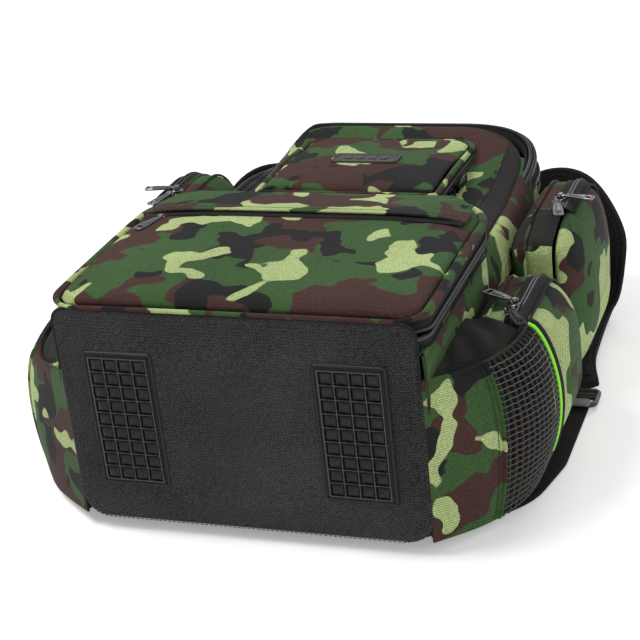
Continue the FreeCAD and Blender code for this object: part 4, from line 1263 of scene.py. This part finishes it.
def slipPocket(side):
    flip, word, sag = flipFor(side), side.capitalize(), slip[side]
    seamAt = sag["seam"]
    rims = slipAt(sag, np.linspace(0, seamAt, 40), np.ones(40), 0.2)
    seam = slipAt(sag, np.full(50, seamAt), np.linspace(0.0, 1, 50), 0.8)
    row = slipAt(sag, np.full(50, seamAt - 0.035), np.linspace(0.02, 0.97, 50), 0.9)
    parts = [slipSheet(sag, 0.0, seamAt + 0.01, 2.0) + (0,),
             slipSheet(sag, seamAt, 1.0, 1.2, -sag["net"]) + (2,),
             sweep(rims, oval(3.0, 3.4, 8), (1.0, 0, 0)) + (0,),
             sweep(seam, oval(2.4, 4.0, 8), (1.0, 0.0, 0)) + (0,),
             stitches(row, (1.0, -0.4, 0), 3.2, 2.2, 0.5, 0.3) + (1,)]
    u, v = np.meshgrid(np.linspace(0, 1, 50), np.linspace(0, 1, 50), indexing="ij")
    # the sheet behind the net takes the darkened camo, which is painted shade and not a darker cloth
    piece("slipPocket" + word, [flip(part) for part in parts],
          [finish["slip"], finish["thread"], finish["behindNet"]], "bag", ["slip_panel_" + side])
    strands, lean = [], (1.0, -0.5, 0)
    for number, u in enumerate(np.arange(seamAt + 0.03, 0.985, slip["cell"] / (slip["end"] - slip["start"]))):
        v = np.linspace(0.0, 1.0, 140)
        wave = 0.0035 * np.sin(v * 200 + number * np.pi)
        strands.append(sweep(slipAt(sag, u + wave, v, 0.9), oval(2.6, 1.1, 6), lean) + (0,))
    for v in np.arange(0.015, 1.0, 0.95 * slip["cell"] / 135):
        u = np.linspace(seamAt + 0.01, 0.99, 50)
        thread = slipAt(sag, u, v + 0.002 * np.sin(u * 90), 1.2)
        strands.append(sweep(thread, oval(1.1, 0.9, 6), lean) + (1,))
    binding = slipAt(sag, np.linspace(seamAt, 1, 30), np.ones(30), 0.6)
    strands.append(sweep(binding, oval(3.0, 3.0, 8), (1.0, -0.4, 0)) + (0,))
    piece("slipNet" + word, [flip(strand) for strand in strands], [finish["net"], finish["netGloss"]],
          "bag")
    edge = slipAt(sag, np.ones(60), np.linspace(0.0, 1.0, 60), 1.2)
    rimParts = [flip(sweep(edge[6:] + [0, -0.6, 0], oval(3.6, 3.6, 10), (1.0, 0, 0)) + (0,)),
                flip(sweep(edge + [1.0, 3.6, 0], oval(7.5, 3.0, 10), (1.0, -0.3, 0)) + (1,))]
    piece("slipEdge" + word, rimParts, [finish["lime"], finish["tape"]], "bag",
          ["slip_rim_" + side])
    u, v = np.meshgrid(np.linspace(0.04, 0.97, 40), np.linspace(0, 1, 24), indexing="ij")
    outside = slipAt(sag, u, np.full_like(u, 0.985), -3.0)
    inside = np.stack([np.full_like(u, bag["half"] + 1.2), outside[..., 1], 152 + 5 * u], -1)
    lining = inside + (outside - inside) * v[..., None]
    lining[..., 2] += (sag["fur"] * np.sin(np.pi * v) ** 0.8 * (1 - 1.6 * np.abs(u - 0.62))
                       + 1.6 * np.sin(u * 23 + v * 9) * np.sin(np.pi * v) - 5 * v ** 4)
    piece("slipLining" + word, [flip(shell(lining, 2.5, zDown))], [finish["fur"]], "bag")


for side in ("left", "right"):
    slipPocket(side)
print("slip pockets ready")


# ---- back pads, yoke, handle, shoulder straps, webbing and ladder locks

padRows = ((0.1, 0.38), (0.54, 0.34))  # where each pad begins and how long it is, as shares of the bag's length
for side in (-1, 1):
    for number, (begin, length) in enumerate(padRows):
        inner, outer = 24.0, bag["half"] - 24.0
        left, right = (inner, outer) if side > 0 else (-outer, -inner)
        near, away = bag["end"] * begin + 2, bag["end"] * (begin + length) - 2
        outline = rounded(rectangle(left + 2, right - 2, near, away, 6.6), 18, 4, True)
        pad = piece("backPad%s%d" % ("Right" if side > 0 else "Left", number),
                    [pillow(outline, (0, 0, -1), 7.5, 2.2, 1.5, 4)], [finish["mesh"]], "bag",
                    ["back_pads"])
        puff(pad, 5.0, 2.0, 1.2)
low, high = nodeBox("strap_yoke")
outline = rounded(rectangle(low[0], high[0], low[1] - baseFace, high[1] - baseFace, 7.0), 8, 3, True)
piece("yokePad", [pillow(outline, (0, 0, -1), 9, 0.6, 0.6, 5)], [finish["strap"]], "bag",
      ["strap_yoke"])

low, high = nodeBox("grab_handle")
half, level = high[0] - 5, (low[2] + high[2]) / 2
ends = low[1] - baseFace
grip = high[1] - baseFace - 5
path = rounded([(half, ends, level), (half, grip, level + 1), (-half, grip, level + 1), (-half, ends, level)], 17, 3)
t = np.linspace(-1, 1, len(path))
girth = (0.85 + 0.3 * np.exp(-(t / 0.45) ** 6))[:, None, None]
handle = [sweep(path, oval(9, 6.4, 14, 3.0)[None] * girth, zUp) + (0,)]
for shift in (-2.6, 2.6):
    row = path[2:-2] + [0, 0, 3.2] + frames(path, zUp)[1][2:-2] * shift
    handle.append(stitches(row, zUp, 3.2, 2.1, 0.5, 0.4) + (1,))
piece("grabHandle", handle, [finish["webbing"], finish["thread"]], "grab_handle", ["grab_handle"])

strap = {"width": 54.0, "thick": 9.0}
far = bag["end"] - 45
lockEnd = nodeBox("ladder_lock_right")[1][1] - baseFace
# the strap's middle line, the direction across it towards its left edge, and its share of the full width
stations = [((70, bag["end"] - 20, 9), (-1, 0, 0), 0.95), ((74, bag["end"] + 8, 9), (-1, 0, -0.11), 0.95),
            ((86, far + 70, 32), (-0.8, 0, 0.6), 0.97), ((108, far + 79, 74), (-0.3, 0.1, 0.95), 1.0),
            ((142, far + 80, 103), (0, 0.1, 1), 1.0), ((180, far + 70, 102), (0.1, -0.1, 1), 1.0),
            ((206, far + 46, 62), (0.4, 0, 0.9), 1.0), ((199, far + 23, 28), (0.9, 0, 0.42), 1.0),
            ((191, far + 1, 11), (1, 0, 0.07), 0.97), ((191, far - 50, 9), (1, 0, 0), 0.95),
            ((197, lockEnd + 53, 8), (1, 0, 0), 0.85), ((215, lockEnd + 6, 6), (1, 0, 0), 0.62)]


def shoulderStrap(side):
    flip = flipFor(side)
    line = curve([s[0] for s in stations], None)
    left = curve([s[1] for s in stations], None)
    share = curve([(s[2], 0, 0) for s in stations], None)[:, 0]
    length = np.concatenate([[0], np.cumsum(np.linalg.norm(np.diff(line, axis=0), axis=1))])
    at = np.linspace(0, length[-1], int(length[-1] / 5))
    sample = lambda values: np.stack([np.interp(at, length, values[:, k]) for k in range(values.shape[1])], 1)
    line, left, share = sample(line), sample(left), sample(share[:, None])[:, 0]
    tangent = unit(np.gradient(line, axis=0))
    left = unit(left - tangent * (left * tangent).sum(1, keepdims=True))
    through = np.cross(tangent, left)
    width = strap["width"] * share
    body = oval(1, 1, 28, 3.4)
    thick = strap["thick"] * (0.9 + 0.12 * np.sin(at / 26.0) ** 2)
    rings = (line[:, None] + left[:, None] * body[None, :, :1] * (width - 4)[:, None, None]
             + through[:, None] * body[None, :, 1:] * thick[:, None, None])
    caps = rings.mean(1, keepdims=True)[[0, -1]] * np.ones((1, 28, 1))
    parts = [flip(grid(np.concatenate([caps[:1], rings, caps[1:]]), False, True) + (0,))]
    for sign in (-1, 1):
        edge = line + left * (sign * (width / 2 - 2.2))[:, None]
        parts.append(flip(sweep(edge, oval(4.4, 6.0, 10), through) + (1,)))
        inner = line + left * (sign * (width / 2 - 7))[:, None]
        for face in (-1, 1):
            row = inner + through * face * (thick / 2 - 0.3)[:, None]
            tang, sideways, _ = frames(row, through * face)
            pick = np.arange(2, len(row) - 2)
            dashes = boxes(row[pick], tang[pick], sideways[pick], through[pick] * face, (3.4, 0.6, 0.7))
            parts.append(flip(dashes + (2,)))
    lowerRun = slice(len(line) // 2, -2)
    webLine = line[lowerRun] + through[lowerRun] * (thick[lowerRun] / 2 + 0.4)[:, None]
    parts.append(flip(sweep(webLine, oval(25, 1.6, 12, 5), through[lowerRun]) + (1,)))
    name = "shoulder_strap_" + side
    piece("shoulderStrap" + side.capitalize(), parts, [finish["strap"], finish["webbing"], finish["thread"]],
          name, [name])


lockAt = 216.0


def ladderLock(side):
    flip = flipFor(side)
    low, high = nodeBox("ladder_lock_right")
    y0, y1, level = low[1] - baseFace, high[1] - baseFace, (low[2] + high[2]) / 2
    ring = rounded(rectangle(low[0] + 2.6, high[0] - 2.6, y0 + 2.6, y1 - 2.6, level), 5, 1.5, True)
    parts = [flip(sweep(ring, oval(5.0, 4.6, 12, 3), zUp, True) + (0,))]
    for y in (y0 + (y1 - y0) * 0.5, y0 + (y1 - y0) * 0.66):
        bar = even([(low[0] + 3, y, level), (high[0] - 3, y, level)], 2)
        parts.append(flip(sweep(bar, oval(4.2, 3.6, 10, 2.6), zUp) + (0,)))
    tongue = rounded(rectangle(low[0] + 6, high[0] - 6, y0 - 3.0, y0 + 9, level + 1.6), 4, 1.5, True)
    parts.append(flip(layered(tongue, zUp, [(0.6, 1, -1.0), (0, 1, -0.4), (0, 1, 1.0), (0.8, 1, 1.8)]) + (1,)))
    name = "ladder_lock_" + side
    piece("ladderLock" + side.capitalize(), parts, [finish["plastic"], finish["tip"]], name, [name])
    end = y0 + 10
    path = rounded([(142, 62, 2.0), (172, 64, 1.8), (204, 104, 1.8), (lockAt, 160, 1.8), (lockAt, end, 2.2)],
                   [0, 30, 60, 60, 0], 3)
    web = [flip(sweep(path, oval(25, 1.7, 12, 6), zUp) + (0,))]
    tab = np.array([(148.5, 62, 2), (148.5, 62, bag["backLow"])])
    web.append(flip(sweep(even(tab, 2), oval(2, 26, 12, 6), (1.0, 0, 0)) + (0,)))
    for shift in (-10.5, 10.5):
        row = path + frames(path, zUp)[1] * shift + [0, 0, 0.9]
        web.append(flip(stitches(row[3:-3], zUp, 3.0, 2.0, 0.5, 0.3) + (1,)))
    made = piece("strapWebbing" + side.capitalize(), web, [finish["webbing"], finish["thread"]], None,
                 ["strap_webbing_" + side])
    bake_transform(made)


for side in ("left", "right"):
    shoulderStrap(side)
    ladderLock(side)
print("straps ready")


# ---- zip sliders and pulls

pullSize = {"length": 11.0, "width": 9.0, "pin": 6.0, "pull": 27.0, "pullWidth": 9.6, "pullThick": 1.8,
            "lift": 0.25}


def plateWithHole(outline, centre, half, low, high, bevel=0.35, count=48):
    # a plate round a slot: outline and slot are joined ray by ray from the slot's centre
    points = even(outline, 0.4, True)
    angle = np.arctan2(points[:, 1] - centre[1], points[:, 0] - centre[0])
    order = np.argsort(angle)
    angle, points = angle[order], points[order]
    rays = np.linspace(-np.pi, np.pi, count, endpoint=False)
    corner = [np.arctan2(sy * half[1], sx * half[0]) for sx in (-1, 1) for sy in (-1, 1)]
    rays = np.unique(np.concatenate([rays, corner]))
    wide = np.concatenate([angle - 2 * np.pi, angle, angle + 2 * np.pi])
    outer = np.stack([np.interp(rays, wide, np.tile(points[:, k], 3)) for k in range(2)], 1)
    c, s = np.cos(rays), np.sin(rays)
    reach = 1 / ((np.abs(c) / half[0]) ** 8 + (np.abs(s) / half[1]) ** 8) ** (1 / 8)
    inner = np.stack([centre[0] + c * reach, centre[1] + s * reach], 1)
    toward = unit(inner - outer)
    over, under = outer + toward * bevel, inner - toward * bevel
    rings = [(outer, low + bevel), (outer, high - bevel), (over, high), (under, high),
             (inner, high - bevel), (inner, low + bevel), (under, low), (over, low)]
    return grid(np.stack([np.c_[ring, np.full(len(rays), level)] for ring, level in rings]), True, True)


def bothSides(edge, level):  # a closed outline from one edge's points and the same mirrored
    return [(x, -y, level) for x, y in edge] + [(x, y, level) for x, y in edge[::-1]]


def pullShape():  # a tapered tab with a slot, and an eye round the pin
    end = pullSize["length"] / 2 + pullSize["pull"]
    half = pullSize["pullWidth"] / 2
    low, high = pullSize["pin"] - pullSize["pullThick"] / 2, pullSize["pin"] + pullSize["pullThick"] / 2
    edge = [(4.0, half * 0.55), (9, half * 0.72), (end - 12, half), (end, half)]
    outline = rounded(bothSides(edge, 0), [1, 3, 6, 1.6, 1.6, 6, 3, 1], 0.5, True)
    tab = plateWithHole(outline, (end - 5.2, 0), (2.3, half * 0.55), low, high)
    ridge = layered(rounded(bothSides([(8.5, 1.5), (end - 9.5, 2.0)], high - 0.1), 0.8, 0.6, True), zUp,
                    [(0, 1, 0), (0.1, 1, 0.45), (0.5, 1, 0.6)])
    circle = rounded(rectangle(-2.2, 2.2, -2.2, 2.2, 0), 2.19, 0.3, True)
    eye = plateWithHole(circle, (0, 0), (1.25, 1.25), -2.0, 2.0, 0.3, 24)
    eye = moved(eye, turnAbout("X", 90), (0, 0, pullSize["pin"]))
    neck = layered(rounded(bothSides([(1.7, 1.7), (6, 2.1)], low + 0.1), 0.4, 0.5, True), zUp,
                   [(0, 1, 0), (0, 1, 1.3), (0.3, 1, 1.6)])
    return [tab, ridge, eye, neck]


def sliderShape():  # a rounded body with a waist, two ears and the pin between them
    half = pullSize["width"] / 2
    edge = [(-5.5, half * 0.62), (-1, half), (5.5, half * 0.9)]
    body = layered(rounded(bothSides(edge, 0), 1.6, 0.8, True), zUp,
                   [(0.3, 1, 0), (0, 1, 0.4), (0, 1, 1.1), (0.8, 1, 1.4), (0.8, 1, 2.2), (0, 1, 2.5), (0, 1, 3.2),
                    (0.5, 1, 3.6)])
    ears = []
    for y in (-3.5, 3.5):
        ear = rounded([(-1.9, y, 3.3), (1.9, y, 3.3), (1.5, y, 6.9), (-1.5, y, 6.9)], 1.0, 0.5, True)
        ears.append(layered(ear, (0, 1, 0), [(0.2, 1, -0.9), (0, 1, -0.7), (0, 1, 0.7), (0.2, 1, 0.9)]))
    pin = sweep(even([(0, -4.4, pullSize["pin"]), (0, 4.4, pullSize["pin"])], 1), oval(1.8, 1.8, 12), zUp)
    return [body, pin] + ears


farEnd, toRight, toLeft, flat = turnAbout("X", -90), turnAbout("Y", 90), turnAbout("Y", -90), np.eye(3)
sliderWidth, gap = pullSize["width"], pullSize["lift"]
upperAt, lowerAt = (box["bottom"] - 0.5 - sliderWidth for box in (upper, lower))
slitAt = (-nodeBox("storm_flap")[1][0] - sliderWidth, flap["low"] + 1 - sliderWidth, lower["top"] + 0.5 + gap)
pairs = [
    ("main_%s_left", (-pullSize["length"], bag["end"] + gap, bag["zip"] - sliderWidth), 180, farEnd, "jet"),
    ("main_%s_right", (pullSize["length"], bag["end"] + gap, bag["zip"] - sliderWidth), 0, farEnd, "jet"),
    ("upper_%s_low", (upper["half"] + gap, upper["start"] + 38, upperAt), -90, toRight, "jet"),
    ("upper_%s_high", (upper["half"] + gap, upper["start"] + 54, upperAt), 90, toRight, "jet"),
    ("lower_%s", (-lower["half"] - gap, lower["end"] / 2, lowerAt), -90, toLeft, "jet"),
    ("slit_%s", slitAt, -110, flat, "steel"),
]


def metalPiece(node, shape, rotation, place, metal):
    piece(node.replace("_", "-") + "-metal", [moved(surface, rotation, place) for surface in shape],
          [finish[metal]], node, [node])


for name, place, about, tilt, metal in pairs:
    rotation = tilt @ turnAbout("Z", about)
    metalPiece(name % "slider", sliderShape(), rotation, place, metal)
    metalPiece(name % "pull", pullShape(), rotation, place, metal)
tags = [("near", 12, -60, "low", "jet"), ("near", 28, 150, "high", "steel"),
        ("far", 62, -75, "low", "steel"), ("far", 78, -10, "high", "steel")]
bodies = []
for side, sign in (("left", -1), ("right", 1)):
    for name, ahead, about, place, metal in tags:
        size = pockets[name]
        rotation = turnAbout("Z", about if sign > 0 else 180 - about)
        spot = (sign * (rimAt - pullSize["length"] / 2 - 1), size["start"] + ahead, size["front"] + gap)
        bodies += [moved(surface, rotation, spot) for surface in sliderShape()]
        metalPiece("%s_pull_%s_%s" % (name, place, side), pullShape(), rotation, spot, metal)
piece("sideSliders", bodies, [finish["steel"]], "bag", ["side_sliders"])
print("zips ready")
